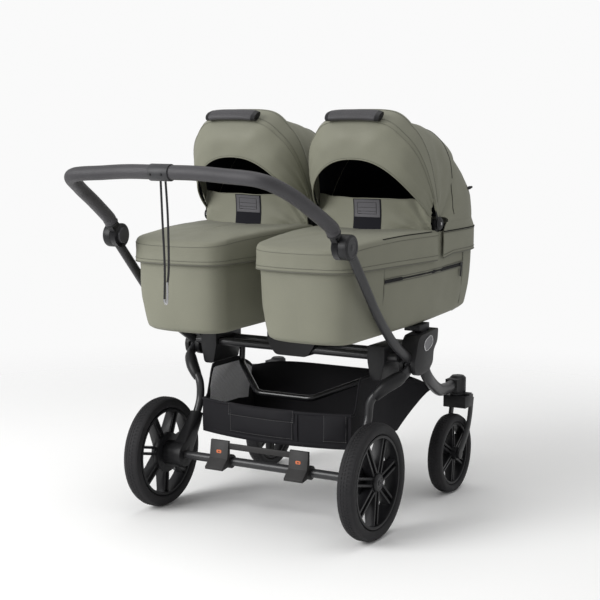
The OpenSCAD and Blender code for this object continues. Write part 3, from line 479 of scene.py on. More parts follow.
class NodeKit:
    """Shader groups and Geometry Nodes trees that several pieces share."""

    def __init__(self) -> None:
        """Build every group and tree once."""
        self.weave = self._weave()
        self.net = self._net()
        self.leather = self._leather()
        self.spark = self._spark()
        self.stitches = self._row_tree("Stitches", False)
        self.teeth = self._row_tree("Teeth", True)
        self.ribs = self._rib_tree()
        self.studs = self._stud_tree()

    @staticmethod
    def _group(name: str, values: dict[str, float]) -> tuple[Tree, Node, Node]:
        """Start a shader group with a Vector input, number inputs, and Height and Mask outputs.

        Args:
            name: Name of the group.
            values: Number inputs with their usual values.

        Returns:
            The group, its input node and its output node.
        """
        tree = bpy.data.node_groups.new(name, "ShaderNodeTree")
        tree.interface.new_socket("Vector", in_out="INPUT", socket_type="NodeSocketVector")
        for key, value in values.items():
            socket = tree.interface.new_socket(key, in_out="INPUT", socket_type="NodeSocketFloat")
            socket.default_value = value
        for key in ("Height", "Mask"):
            tree.interface.new_socket(key, in_out="OUTPUT", socket_type="NodeSocketFloat")
        return tree, tree.nodes.new("NodeGroupInput"), tree.nodes.new("NodeGroupOutput")

    @staticmethod
    def _math(tree: Tree, operation: str, a: object, b: object = None) -> Socket:
        """Add a Math node.

        Args:
            tree: Tree that it goes into.
            operation: Blender's word for the sum.
            a: First socket or number.
            b: Second socket or number, if there is one.

        Returns:
            The node's output.
        """
        node = tree.nodes.new("ShaderNodeMath")
        node.operation = operation
        for socket, value in zip(node.inputs, (a, b)):
            if isinstance(value, Socket):
                tree.links.new(value, socket)
            elif value is not None:
                socket.default_value = value
        return node.outputs[0]

    def _noise(self, tree: Tree, start: Node, scale: object, detail: float) -> Socket:
        """Add a Noise Texture.

        Args:
            tree: Tree that it goes into.
            start: The group's input node, with Vector.
            scale: Scale as a socket or number.
            detail: Levels of finer noise.

        Returns:
            The noise's value.
        """
        node = tree.nodes.new("ShaderNodeTexNoise")
        node.inputs["Detail"].default_value = detail
        tree.links.new(start.outputs["Vector"], node.inputs["Vector"])
        if isinstance(scale, Socket):
            tree.links.new(scale, node.inputs["Scale"])
        else:
            node.inputs["Scale"].default_value = scale
        return node.outputs["Fac"]

    def _threads(self, tree: Tree, start: Node) -> tuple[Socket, ...]:
        """Add the sine of each thread direction of a cloth.

        Args:
            tree: The group's tree.
            start: Its input node, with Vector and Threads.

        Returns:
            The sines along U and V.
        """
        apart = tree.nodes.new("ShaderNodeSeparateXYZ")
        tree.links.new(start.outputs["Vector"], apart.inputs[0])
        found = []
        for axis in ("X", "Y"):
            turns = self._math(tree, "MULTIPLY", apart.outputs[axis], start.outputs["Threads"])
            found.append(self._math(tree, "SINE", self._math(tree, "MULTIPLY", turns, math.pi)))
        return tuple(found)

    def _weave(self) -> Tree:
        """Build the plain weave: crossing threads, slubs and slow changes of tone."""
        tree, start, end = self._group("Plain weave", {"Threads": 1100.0, "Drift": 9.0})
        u, v = self._threads(tree, start)
        cross = self._math(tree, "MULTIPLY", u, v)
        slub = self._noise(tree, start, 420.0, 3.0)
        height = self._math(tree, "ADD", self._math(tree, "MULTIPLY", cross, 0.5), slub)
        slow = self._noise(tree, start, start.outputs["Drift"], 5.0)
        fine = self._math(tree, "MULTIPLY", slub, 0.45)
        wire(tree, (height, end.inputs["Height"]),
                   (self._math(tree, "ADD", self._math(tree, "MULTIPLY", slow, 0.55), fine), end.inputs["Mask"]))
        return tree

    def _net(self) -> Tree:
        """Build the open net: rows of round holes between knitted bars."""
        tree, start, end = self._group("Open net", {"Threads": 330.0, "Drift": 12.0})
        u, v = self._threads(tree, start)
        hole = self._math(tree, "MULTIPLY", self._math(tree, "MULTIPLY", u, u), self._math(tree, "MULTIPLY", v, v))
        edge = self._math(tree, "GREATER_THAN", hole, 0.32)
        wire(tree, (self._math(tree, "SUBTRACT", 1.0, hole), end.inputs["Height"]), (edge, end.inputs["Mask"]))
        return tree

    def _leather(self) -> Tree:
        """Build the leather grain: pebbles of uneven size with creases between them."""
        tree, start, end = self._group("Leather grain", {"Pebbles": 900.0, "Drift": 14.0})
        cells = tree.nodes.new("ShaderNodeTexVoronoi")
        cells.feature = "DISTANCE_TO_EDGE"
        wire(tree, (start.outputs["Vector"], cells.inputs["Vector"]),
                   (start.outputs["Pebbles"], cells.inputs["Scale"]))
        pebble = self._math(tree, "MINIMUM", self._math(tree, "MULTIPLY", cells.outputs["Distance"], 4.0), 1.0)
        rough = self._noise(tree, start, 240.0, 4.0)
        slow = self._noise(tree, start, start.outputs["Drift"], 4.0)
        tree.links.new(self._math(tree, "ADD", pebble, self._math(tree, "MULTIPLY", rough, 0.6)), end.inputs["Height"])
        mask = self._math(tree, "ADD", self._math(tree, "MULTIPLY", pebble, 0.35),
                          self._math(tree, "MULTIPLY", slow, 0.65))
        tree.links.new(mask, end.inputs["Mask"])
        return tree

    def _spark(self) -> Tree:
        """Build the spark texture of moulds and coatings: fine grain, with scuffs in patches."""
        tree, start, end = self._group("Spark grain", {"Grain": 1500.0, "Drift": 10.0})
        grain = self._noise(tree, start, start.outputs["Grain"], 2.0)
        slow = self._noise(tree, start, start.outputs["Drift"], 6.0)
        scuff = self._noise(tree, start, 85.0, 8.0)
        tree.links.new(grain, end.inputs["Height"])
        mask = self._math(tree, "ADD", self._math(tree, "MULTIPLY", slow, 0.6),
                          self._math(tree, "MULTIPLY", scuff, 0.4))
        tree.links.new(mask, end.inputs["Mask"])
        return tree

    @staticmethod
    def _geometry(name: str, inputs: Sequence[tuple[str, str]]) -> tuple[Tree, Node, Node]:
        """Start a Geometry Nodes tree.

        Args:
            name: Name of the tree.
            inputs: Named inputs after the geometry, with their socket types.

        Returns:
            The tree, its input node and its output node.
        """
        tree = bpy.data.node_groups.new(name, "GeometryNodeTree")
        tree.interface.new_socket("Geometry", in_out="INPUT", socket_type="NodeSocketGeometry")
        for key, kind in inputs:
            tree.interface.new_socket(key, in_out="INPUT", socket_type=kind)
        tree.interface.new_socket("Geometry", in_out="OUTPUT", socket_type="NodeSocketGeometry")
        return tree, tree.nodes.new("NodeGroupInput"), tree.nodes.new("NodeGroupOutput")

    @staticmethod
    def _close(tree: Tree, start: Node, end: Node, geometry: Socket) -> None:
        """End a tree with Realize Instances and Set Material."""
        real = tree.nodes.new("GeometryNodeRealizeInstances")
        paint = tree.nodes.new("GeometryNodeSetMaterial")
        wire(tree, (geometry, real.inputs["Geometry"]), (real.outputs["Geometry"], paint.inputs["Geometry"]),
                   (start.outputs["Material"], paint.inputs["Material"]),
                   (paint.outputs["Geometry"], end.inputs["Geometry"]))

    def _row_tree(self, name: str, teeth: bool) -> Tree:
        """Build the tree that sets stitches or zip teeth along edges.

        Args:
            name: Name of the tree.
            teeth: Square teeth across the line instead of round stitches along it.

        Returns:
            The tree.
        """
        tree, start, end = self._geometry(name, [
            ("Pitch", "NodeSocketFloat"), ("Long", "NodeSocketFloat"), ("Thick", "NodeSocketFloat"),
            ("High", "NodeSocketFloat"), ("Material", "NodeSocketMaterial")])
        line = tree.nodes.new("GeometryNodeMeshToCurve")
        points = tree.nodes.new("GeometryNodeCurveToPoints")
        points.mode = "LENGTH"
        turn = tree.nodes.new("FunctionNodeAlignRotationToVector")
        turn.axis = "X" if teeth else "Z"
        put = tree.nodes.new("GeometryNodeInstanceOnPoints")
        wire(tree, (start.outputs["Geometry"], line.inputs["Mesh"]), (line.outputs["Curve"], points.inputs["Curve"]),
                   (start.outputs["Pitch"], points.inputs["Length"]),
                   (points.outputs["Tangent"], turn.inputs["Vector"]))
        if teeth:
            shape = tree.nodes.new("GeometryNodeMeshCube")
            size = tree.nodes.new("ShaderNodeCombineXYZ")
            for key, axis in (("Long", "X"), ("Thick", "Y"), ("High", "Z")):
                tree.links.new(start.outputs[key], size.inputs[axis])
            tree.links.new(size.outputs[0], shape.inputs["Size"])
        else:
            shape = tree.nodes.new("GeometryNodeMeshCylinder")
            shape.inputs["Vertices"].default_value = 6
            wire(tree, (start.outputs["Thick"], shape.inputs["Radius"]),
                       (start.outputs["Long"], shape.inputs["Depth"]))
        wire(tree, (points.outputs["Points"], put.inputs["Points"]), (shape.outputs["Mesh"], put.inputs["Instance"]),
                   (turn.outputs["Rotation"], put.inputs["Rotation"]))
        self._close(tree, start, end, put.outputs["Instances"])
        return tree

    def _rib_tree(self) -> Tree:
        """Build the tree that sets a rib round an axle along X, as often as it is told."""
        tree, start, end = self._geometry("Ribs round an axle", [
            ("Count", "NodeSocketInt"), ("Radius", "NodeSocketFloat"), ("Middle", "NodeSocketVector"),
            ("Material", "NodeSocketMaterial")])
        ring = tree.nodes.new("GeometryNodeMeshCircle")
        here = tree.nodes.new("GeometryNodeInputPosition")
        turn = tree.nodes.new("FunctionNodeAlignRotationToVector")
        turn.axis = "X"
        turn.pivot_axis = "Z"
        put = tree.nodes.new("GeometryNodeInstanceOnPoints")
        real = tree.nodes.new("GeometryNodeRealizeInstances")
        move = tree.nodes.new("GeometryNodeTransform")
        move.inputs["Rotation"].default_value = (0.0, math.radians(90), 0.0)
        wire(tree, (start.outputs["Count"], ring.inputs["Vertices"]),
                   (start.outputs["Radius"], ring.inputs["Radius"]), (here.outputs[0], turn.inputs["Vector"]),
                   (ring.outputs["Mesh"], put.inputs["Points"]), (start.outputs["Geometry"], put.inputs["Instance"]),
                   (turn.outputs["Rotation"], put.inputs["Rotation"]),
                   (put.outputs["Instances"], real.inputs["Geometry"]),
                   (real.outputs["Geometry"], move.inputs["Geometry"]),
                   (start.outputs["Middle"], move.inputs["Translation"]))
        self._close(tree, start, end, move.outputs["Geometry"])
        return tree

    def _stud_tree(self) -> Tree:
        """Build the tree that sets a domed stud on every point of a mesh."""
        tree, start, end = self._geometry("Studs", [("Radius", "NodeSocketFloat"), ("Material", "NodeSocketMaterial")])
        ball = tree.nodes.new("GeometryNodeMeshUVSphere")
        tune(ball, {"Segments": 14, "Rings": 8})
        put = tree.nodes.new("GeometryNodeInstanceOnPoints")
        wire(tree, (start.outputs["Radius"], ball.inputs["Radius"]),
                   (start.outputs["Geometry"], put.inputs["Points"]), (ball.outputs["Mesh"], put.inputs["Instance"]))
        self._close(tree, start, end, put.outputs["Instances"])
        return tree

    def sew(self, name: str, lines: Iterable[np.ndarray], thread: Material, pitch: float = 0.0046,
            length: float = 0.003, thick: float = 0.00055) -> Object:
        """Sew stitches along lines.

        Args:
            name: Name of the new object.
            lines: Routes in source millimetres.
            thread: Its material.
            pitch: From one stitch to the next, in metres.
            length: Length of a stitch.
            thick: Half its thickness.

        Returns:
            The stitches as one object.
        """
        values = {"Pitch": pitch, "Long": length, "Thick": thick, "Material": thread}
        return self.grow(line_mesh(name, lines), self.stitches, values)

    @staticmethod
    def grow(obj: Object, tree: Tree, values: dict[str, object]) -> Object:
        """Run a Geometry Nodes tree on an object and keep the result as plain mesh.

        Args:
            obj: Object that the tree works on.
            tree: The tree.
            values: Its inputs by name.

        Returns:
            The same object.
        """
        mod = obj.modifiers.new("Grow", "NODES")
        mod.node_group = tree
        for item in tree.interface.items_tree:
            if item.item_type == "SOCKET" and item.in_out == "INPUT" and item.name in values:
                mod[item.identifier] = values[item.name]
        settle(obj)
        return shade(obj, 35)


@dataclass(frozen=True)
class Finish:
    """A material of the pram: its colour, how it is worked and how it shines."""

    name: str
    colour: Colour
    texture: Texture
    second: float = 0.82
    rough: float = 0.6
    rough_span: float = 0.1
    scale: float = 1100.0
    drift: float = 9.0
    bump: float = 0.12
    depth: float = 0.0004
    metallic: float = 0.0
    sheen: float = 0.0
    coat: float = 0.0
    mirror: float = 0.5
    tint: Colour = (1.0, 1.0, 1.0)

    def make(self, kit: NodeKit) -> Material:
        """Build the material.

        Args:
            kit: The shared shader groups.

        Returns:
            The new material.
        """
        made = bpy.data.materials.new(self.name)
        made.use_nodes = True
        tree = made.node_tree
        shader = tree.nodes["Principled BSDF"]
        tune(shader, {"Metallic": self.metallic, "Sheen Weight": self.sheen, "Sheen Roughness": 0.45,
                      "Coat Weight": self.coat, "Specular IOR Level": self.mirror, "Coat Roughness": 0.2})
        where = tree.nodes.new("ShaderNodeTexCoord")
        group = tree.nodes.new("ShaderNodeGroup")
        group.node_tree, key, place_by = {
            Texture.WEAVE: (kit.weave, "Threads", "UV"), Texture.NET: (kit.net, "Threads", "UV"),
            Texture.LEATHER: (kit.leather, "Pebbles", "Object"), Texture.SPARK: (kit.spark, "Grain", "Object"),
            Texture.RUBBER: (kit.spark, "Grain", "Object"), Texture.SATIN: (kit.spark, "Grain", "Object"),
        }[self.texture]
        group.inputs[key].default_value = self.scale
        group.inputs["Drift"].default_value = self.drift
        tree.links.new(where.outputs[place_by], group.inputs["Vector"])
        mix = tree.nodes.new("ShaderNodeMix")
        mix.data_type = "RGBA"
        mix.inputs[6].default_value = tuple(c * self.second * t for c, t in zip(self.colour, self.tint)) + (1.0,)
        mix.inputs[7].default_value = self.colour + (1.0,)
        spread = tree.nodes.new("ShaderNodeMapRange")
        tune(spread, {"From Min": 0.3, "From Max": 0.68})
        wire(tree, (group.outputs["Mask"], spread.inputs["Value"]), (spread.outputs["Result"], mix.inputs[0]),
                   (mix.outputs[2], shader.inputs["Base Color"]))
        gloss = tree.nodes.new("ShaderNodeMapRange")
        tune(gloss, {"From Min": 0.3, "From Max": 0.68, "To Min": self.rough + self.rough_span / 2,
                     "To Max": self.rough - self.rough_span / 2})
        wire(tree, (group.outputs["Mask"], gloss.inputs["Value"]),
                   (gloss.outputs["Result"], shader.inputs["Roughness"]))
        bump = tree.nodes.new("ShaderNodeBump")
        tune(bump, {"Strength": self.bump, "Distance": self.depth})
        wire(tree, (group.outputs["Height"], bump.inputs["Height"]),
                   (bump.outputs["Normal"], shader.inputs["Normal"]))
        return made


class Finishes:
    """Every material of the pram, made once."""

    def __init__(self, kit: NodeKit) -> None:
        """Make the materials.

        Args:
            kit: The shared shader groups.
        """
        fabric = {"texture": Texture.WEAVE, "rough": 0.68, "rough_span": 0.12, "sheen": 0.06}
        self.olive = Finish("olive_cloth", (0.208, 0.208, 0.157), second=0.88, **fabric).make(kit)
        # Darker olive for bindings, hems, seams, zip lips and inner faces: partly the cloth's own darker tone, partly
        # painted shade along the hems and under the apron and hood skirts.
        self.olive_edge_and_shade = Finish("olive_binding_and_shade", (0.12, 0.12, 0.093), scale=700, **fabric).make(kit)
        self.lining = Finish("hood_lining", (0.016, 0.016, 0.020), texture=Texture.WEAVE, rough=0.85,
                             mirror=0.1).make(kit)
        self.cotton = Finish("mattress_cotton", (0.62, 0.61, 0.57), scale=800, **fabric).make(kit)
        self.thread = Finish("sewing_thread", (0.10, 0.10, 0.078), texture=Texture.SPARK, rough=0.7).make(kit)
        self.grey_thread = Finish("grey_thread", (0.11, 0.11, 0.11), texture=Texture.SPARK, rough=0.7).make(kit)
        self.basket = Finish("basket_cloth", (0.0145, 0.014, 0.0165), Texture.WEAVE, second=0.75, rough=0.7,
                             scale=700, bump=0.25, sheen=0.03, mirror=0.15).make(kit)
        # The net's bars come out near white, 5.6 times its grey: partly the net's own pale grey, partly painted light
        # on the basket wall's shaded inner face.
        self.net = Finish("basket_net", (0.16, 0.16, 0.165), Texture.NET, second=5.6, rough=0.7, scale=300, bump=0.3,
                          mirror=0.2).make(kit)
        self.webbing = Finish("strap_webbing", (0.022, 0.022, 0.024), Texture.WEAVE, second=0.6, rough=0.75, scale=520,
                              bump=0.5, depth=0.0006, mirror=0.2).make(kit)
        self.leather = Finish("grained_leatherette", (0.060, 0.058, 0.063), Texture.LEATHER, second=0.7, rough=0.42,
                              rough_span=0.16, scale=850, bump=0.35, depth=0.0005, mirror=0.35).make(kit)
        self.leather_light = Finish("pale_leatherette", (0.115, 0.112, 0.122), Texture.LEATHER, second=0.8, rough=0.5,
                                    scale=1100, bump=0.3, mirror=0.3).make(kit)
        self.rubber = Finish("tyre_rubber", (0.0125, 0.0125, 0.014), Texture.RUBBER, second=1.7, rough=0.66,
                             rough_span=0.18, scale=700, drift=22, bump=0.3, mirror=0.25,
                             tint=(1.05, 1.0, 0.95)).make(kit)
        self.tube = Finish("satin_tube", (0.030, 0.030, 0.032), Texture.SATIN, second=0.85, rough=0.32,
                           rough_span=0.1, scale=2600, bump=0.06, mirror=0.4).make(kit)
        self.gloss = Finish("gloss_tube", (0.010, 0.010, 0.011), Texture.SATIN, second=0.8, rough=0.2, scale=2000,
                            bump=0.03, coat=0.2, mirror=0.4).make(kit)
        self.black = Finish("black_moulding", (0.0105, 0.0105, 0.0115), Texture.SPARK, second=1.5, rough=0.42,
                            rough_span=0.14, scale=1700, bump=0.22, mirror=0.3).make(kit)
        self.rim = Finish("rim_moulding", (0.008, 0.008, 0.009), Texture.SPARK, second=1.5, rough=0.36,
                          rough_span=0.12, scale=1900, bump=0.12, mirror=0.25).make(kit)
        self.grey = Finish("grey_moulding", (0.045, 0.045, 0.048), Texture.SPARK, second=0.8, rough=0.46,
                           rough_span=0.14, scale=1600, bump=0.24, mirror=0.3).make(kit)
        self.pedal = Finish("pedal_moulding", (0.028, 0.027, 0.027), Texture.SPARK, second=0.75, rough=0.5,
                            scale=1600, bump=0.24, mirror=0.3).make(kit)
        self.piping = Finish("dark_piping", (0.018, 0.018, 0.017), texture=Texture.WEAVE, rough=0.8, scale=900,
                             mirror=0.1).make(kit)
        self.plate = Finish("plate_moulding", (0.17, 0.17, 0.18), Texture.SATIN, second=0.8, rough=0.36, scale=1500,
                            bump=0.08).make(kit)
        self.steel = Finish("bright_steel", (0.55, 0.55, 0.56), Texture.SATIN, second=0.8, rough=0.28, scale=2200,
                            bump=0.05, metallic=1.0).make(kit)
        self.signal = Finish("signal_orange", (0.62, 0.16, 0.06), Texture.SPARK, second=0.8, rough=0.4,
                             scale=1500, bump=0.1).make(kit)


@dataclass
class Maker:
    """A maker of pieces, with the materials and node trees that it works with."""

    paint: Finishes
    kit: NodeKit


@dataclass
class Wheel(Maker):
    """One wheel: a treaded tyre over a spoked rim."""

    kind: str
    side: Side
    x: float
    y: float
    radius: float
    bead: float
    width: float
    ribs: int
    crown: float = 3.2
    tread: float = 1.1

    def build(self) -> None:
        """Build the tyre, its tread and the rim."""
        body = f"{self.kind}_wheel_{self.side.tag}"
        centre = mirrored([self.x, self.y, self.radius], self.side)
        tyre = surface(f"{self.kind}_tyre_{self.side.tag}_rubber", revolve(self.profile(), centre, 112),
                       [self.paint.rubber], wrap=True, loop=True)
        place(joined(tyre, self.tread_ribs(centre)), body, "tyre_rubber",
              f"{self.kind}_tyre_{self.side.tag}")
        rim = f"{self.kind}_rim_{self.side.tag}"
        place(softened(rim, f"{rim}_moulded", 1.1, self.paint.rim), body, "black_plastic", rim)
        if self.kind == "rear":
            cap = f"rear_cap_{self.side.tag}"
            place(joined(softened(cap, f"{cap}_moulded", 1.2, self.paint.black), self.cap_ring(centre)), body,
                  "grey_plastic", cap)

    def profile(self) -> np.ndarray:
        """Draw the tyre's section: rounded shoulders, two grooves and a ridge on each wall.

        Returns:
            Points as (radius, distance from the wheel's middle).
        """
        mid, half = (self.bead + self.radius) / 2, (self.radius - self.bead) / 2
        points = []
        for turn in around(64):
            c, s = math.cos(turn), math.sin(turn)
            r = mid + half * swung(c, 2 / self.crown)
            x = self.width / 2 * swung(s, 2 / self.crown)
            wall = math.exp(-((r - lerp(self.bead, self.radius, 0.56)) / 1.4) ** 2)
            x += math.copysign(0.7 * wall, x) if abs(x) > 0.3 * self.width else 0.0
            points.append((r - (self.tread if c > 0.55 else 0.0), x))
        return np.array(points)

    def tread_ribs(self, centre: np.ndarray) -> Object:
        """Set slanted tread blocks round the tyre.

        Args:
            centre: Middle of the wheel, in source millimetres.

        Returns:
            The blocks as one object.
        """
        pitch = 2 * math.pi * self.radius / self.ribs
        fall = 0.085 * (self.radius - self.bead)
        points, faces = [], []
        for s, late in ((-1, 0.0), (1, 0.5)):
            for inner, outer, drop in ((0.04, 0.30, 0.15), (0.36, 0.66, 1.0)):
                first = len(points)
                for top in (0.0, -2.6):
                    for share, along, low in ((inner, -0.34, 0.0), (inner, 0.26, 0.0), (outer, 0.34, drop),
                                              (outer, -0.26, drop)):
                        points.append((top - fall * low, pitch * (along + late), s * share * self.width / 2))
                quads = [(0, 1, 2, 3), (0, 4, 5, 1), (1, 5, 6, 2), (2, 6, 7, 3), (3, 7, 4, 0)]
                faces += [tuple(first + k for k in (q if s < 0 else q[::-1])) for q in quads]
        mesh = bpy.data.meshes.new("tread_block")
        mesh.from_pydata((np.array(points) / 1000).tolist(), [], faces)
        rib = link(f"tread_{self.kind}_{self.side.tag}", mesh, [])
        self.kit.grow(rib, self.kit.ribs,
                      {"Count": self.ribs, "Radius": self.radius / 1000, "Middle": to_row([centre])[0].tolist(),
                                 "Material": self.paint.rubber})
        return rib

    def cap_ring(self, centre: np.ndarray) -> Object:
        """Add the stepped middle of a hub cap."""
        out = centre[0] + self.side.value * 22.1
        steps = [(2.0, 0.2), (2.2, 2.0), (6.0, 2.4), (7.2, 1.8), (7.6, 0.2), (13.6, 0.2), (14.0, 1.0), (16.0, 1.0),
                 (16.4, 0.1)]
        profile = [(r, self.side.value * x) for r, x in steps]
        return surface(f"cap_ring_{self.side.tag}", revolve(profile, (out, self.y, self.radius), 40), [self.paint.grey],
                       loop=True, away=(out - self.side.value * 30, self.y, self.radius), smooth=30)


@dataclass
class Mouldings(Maker):
    """Rigid plastic pieces whose solids only need rounded edges and a finish."""

    bracket_out: float = 360.0

    def build(self) -> None:
        """Build every moulding and the trim on it."""
        plain = [("inner_housings", "chassis", 3.0, self.paint.black, "grey_plastic"),
                 ("centre_adapter", "chassis", 2.5, self.paint.black, "black_plastic"),
                 ("hub_cases", "chassis", 1.6, self.paint.black, "black_plastic"),
                 ("handle_knuckles", "handle", 2.2, self.paint.black, "black_plastic"),
                 ("strap_collar", "handle", 0.8, self.paint.grey, "black_plastic"),
                 ("brake_link", "brake", 1.4, self.paint.pedal, "grey_plastic")]
        for side in Side:
            t = side.tag
            plain += [(f"side_bracket_{t}", "chassis", 3.0, self.paint.black, "grey_plastic"),
                      (f"castor_head_{t}", "chassis", 2.6, self.paint.black, "black_plastic"),
                      (f"suspension_{t}", "rear_frame", 2.2, self.paint.black, "black_plastic"),
                      (f"brake_pedal_{t}", "brake", 4.5, self.paint.pedal, "grey_plastic"),
                      (f"castor_fork_{t}", f"castor_{t}", 2.0, self.paint.black, "grey_plastic"),
                      (f"swivel_lock_{t}", f"swivel_lock_{t}", 1.2, self.paint.black, "black_plastic"),
                      (f"hub_button_{t}", f"hub_button_{t}", 1.6, self.paint.grey, "grey_plastic"),
                      (f"cot_adapters_{t}", f"cot_{t}", 1.8, self.paint.black, "black_plastic"),
                      (f"hood_pivots_{t}", f"cot_{t}", 1.2, self.paint.black, "black_plastic")]
        for node, body, edge, material, slot in plain:
            place(softened(node, f"{node}_moulded", edge, material), body, slot, node)
        for node in ("cross_tubes", "rear_axle"):
            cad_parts[node].data.materials.clear()
            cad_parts[node].data.materials.append(self.paint.tube)
        for side in Side:
            self.bracket_plate(side)
            self.hub_face(side)
            self.pedal_window(side)

    def bracket_plate(self, side: Side) -> None:
        """Set a bare oval plate into a bracket's outer face."""
        rows = []
        for size, out in ((1.0, -0.6), (1.0, 0.9), (0.93, 1.5), (0.9, 0.9), (0.5, 0.9), (0.02, 0.9)):
            ring = []
            for turn in around(48):
                c, s = math.cos(turn), math.sin(turn)
                a, b = 27 * size * swung(c, 0.7), 16 * size * swung(s, 0.7)
                ring.append((self.bracket_out + out, 246 + a * 0.93 - b * 0.36, 472 + a * 0.36 + b * 0.93))
            rows.append(mirrored(ring, side))
        frame_ring = tube("plate_frame", np.concatenate((rows[2], rows[2][:2])), (1.4, 1.2), (1, 0, 0),
                          self.paint.steel, 8)
        plate = surface(f"bracket_plate_{side.tag}", rows, [self.paint.plate], wrap=True,
                        away=(side.value * 300, 246, 472), smooth=30)
        place(joined(plate, frame_ring), "chassis", "grey_plastic")

    def hub_face(self, side: Side) -> None:
        """Set a stepped cover on a handle hub's outer face."""
        steps = [(0.4, 1.4), (7.0, 1.4), (8.0, 0.9), (8.6, 0.1), (20.0, 0.1), (21.0, 1.2), (24.0, 1.2), (25.0, 0.0),
                 (25.2, -0.6)]
        rows = revolve([(r, side.value * x) for r, x in steps], (side.value * 358.0, -172.0, 757.0), 48)
        cover = surface(f"hub_face_{side.tag}", rows, [self.paint.grey], loop=True, away=(side.value * 300, -172, 757),
                        smooth=30)
        place(cover, "chassis", "black_plastic")

    def pedal_window(self, side: Side) -> None:
        """Set the brake's small coloured window into a pedal."""
        x, y, z = side.value * 122.0, -22.6, 178.0
        rows = []
        for size, out in ((1.0, 4.0), (1.0, -0.4), (0.9, -1.0), (0.3, -1.0)):
            ring = []
            for turn in around(24):
                c, s = math.cos(turn), math.sin(turn)
                ring.append((x + 8 * size * swung(c, 0.5), y + out,
                             z + 5 * size * swung(s, 0.5)))
            rows.append(ring)
        window = surface(f"pedal_window_{side.tag}", rows, [self.paint.signal], wrap=True, away=(x, y + 40, z),
                         smooth=30)
        place(window, "brake", "grey_plastic")


@dataclass
class Tubes(Maker):
    """Bent tubes of the chassis and rear frame."""

    def build(self) -> None:
        """Build the lower handle tubes, legs and the hoop."""
        for side in Side:
            t = side.tag
            lower = bent([(346, -155.4, 738.3), (340, 0, 564), (337, 90, 488), (337, 181, 435)], 46, 14)
            place(tube(f"lower_tube_{t}_bent", mirrored(lower, side), (13, 11), (1, 0, 0), self.paint.tube, 24),
                  "chassis",
                  "dark_tube", f"lower_tube_{t}")
            lean = unit(np.array((0, 0.64, -0.77)))
            root = np.array((337, 264.8, 405.43))
            front = spline([root - lean * 14, root + lean * 46, (316.65, 402.7, 318.6), (303.7, 482.3, 304.5),
                            (300, 528.5, 304.5)], 10)
            place(tube(f"front_leg_{t}_bent", mirrored(front, side), (17, 14), (1, 0, 0), self.paint.tube, 24),
                  "chassis",
                  "dark_tube", f"front_leg_{t}")
            place(self.rear_leg(side), "rear_frame", "dark_tube", f"rear_leg_{t}")
        half = [(214, 240, 428.5), (212, 232, 372), (84, 112, 318)]
        route = bent([(-x, y, z) for x, y, z in half] + half[::-1], 15, 10)
        place(tube("basket_hoop_bent", route, (8.5, 8.5), (0, 1, -1), self.paint.gloss, 18), "chassis", "black_tube",
              "basket_hoop")

    def rear_leg(self, side: Side) -> Object:
        """Build a rear leg with the eye that it folds about.

        Args:
            side: Which leg.

        Returns:
            The leg.
        """
        route = spline([(337, 190, 420), (334, 156, 398), (303.25, 120, 373), (268, 102, 336), (262, 96.5, 289),
                        (262, 80, 252)], 8)
        halves = spline([(14, 10), (15, 10), (15, 10), (11, 11), (11, 11), (11, 11)], 8)
        leg = tube(f"rear_leg_{side.tag}_bent", mirrored(route, side), halves, (1, 0, 0), self.paint.tube, 24)
        eye = revolve([(5.1, -11), (15.8, -11), (17, -9.8), (17, 9.8), (15.8, 11), (5.1, 11)],
                      (side.value * 337, 190, 420), 40)
        ring = surface(f"rear_eye_{side.tag}", eye, [self.paint.tube], wrap=True, loop=True, smooth=35)
        over = spline([(334, 157, 398.5), (324, 142, 389), (303.25, 120, 373), (287, 110, 356), (276, 106, 343)], 6)
        size = spline([(14, 11), (20, 16), (20, 17), (17, 15), (12.4, 12.4)], 6)
        cast = tube("leg_casting", mirrored(over, side), size, (1, 0, 0), self.paint.black, 24)
        return joined(leg, ring, cast)


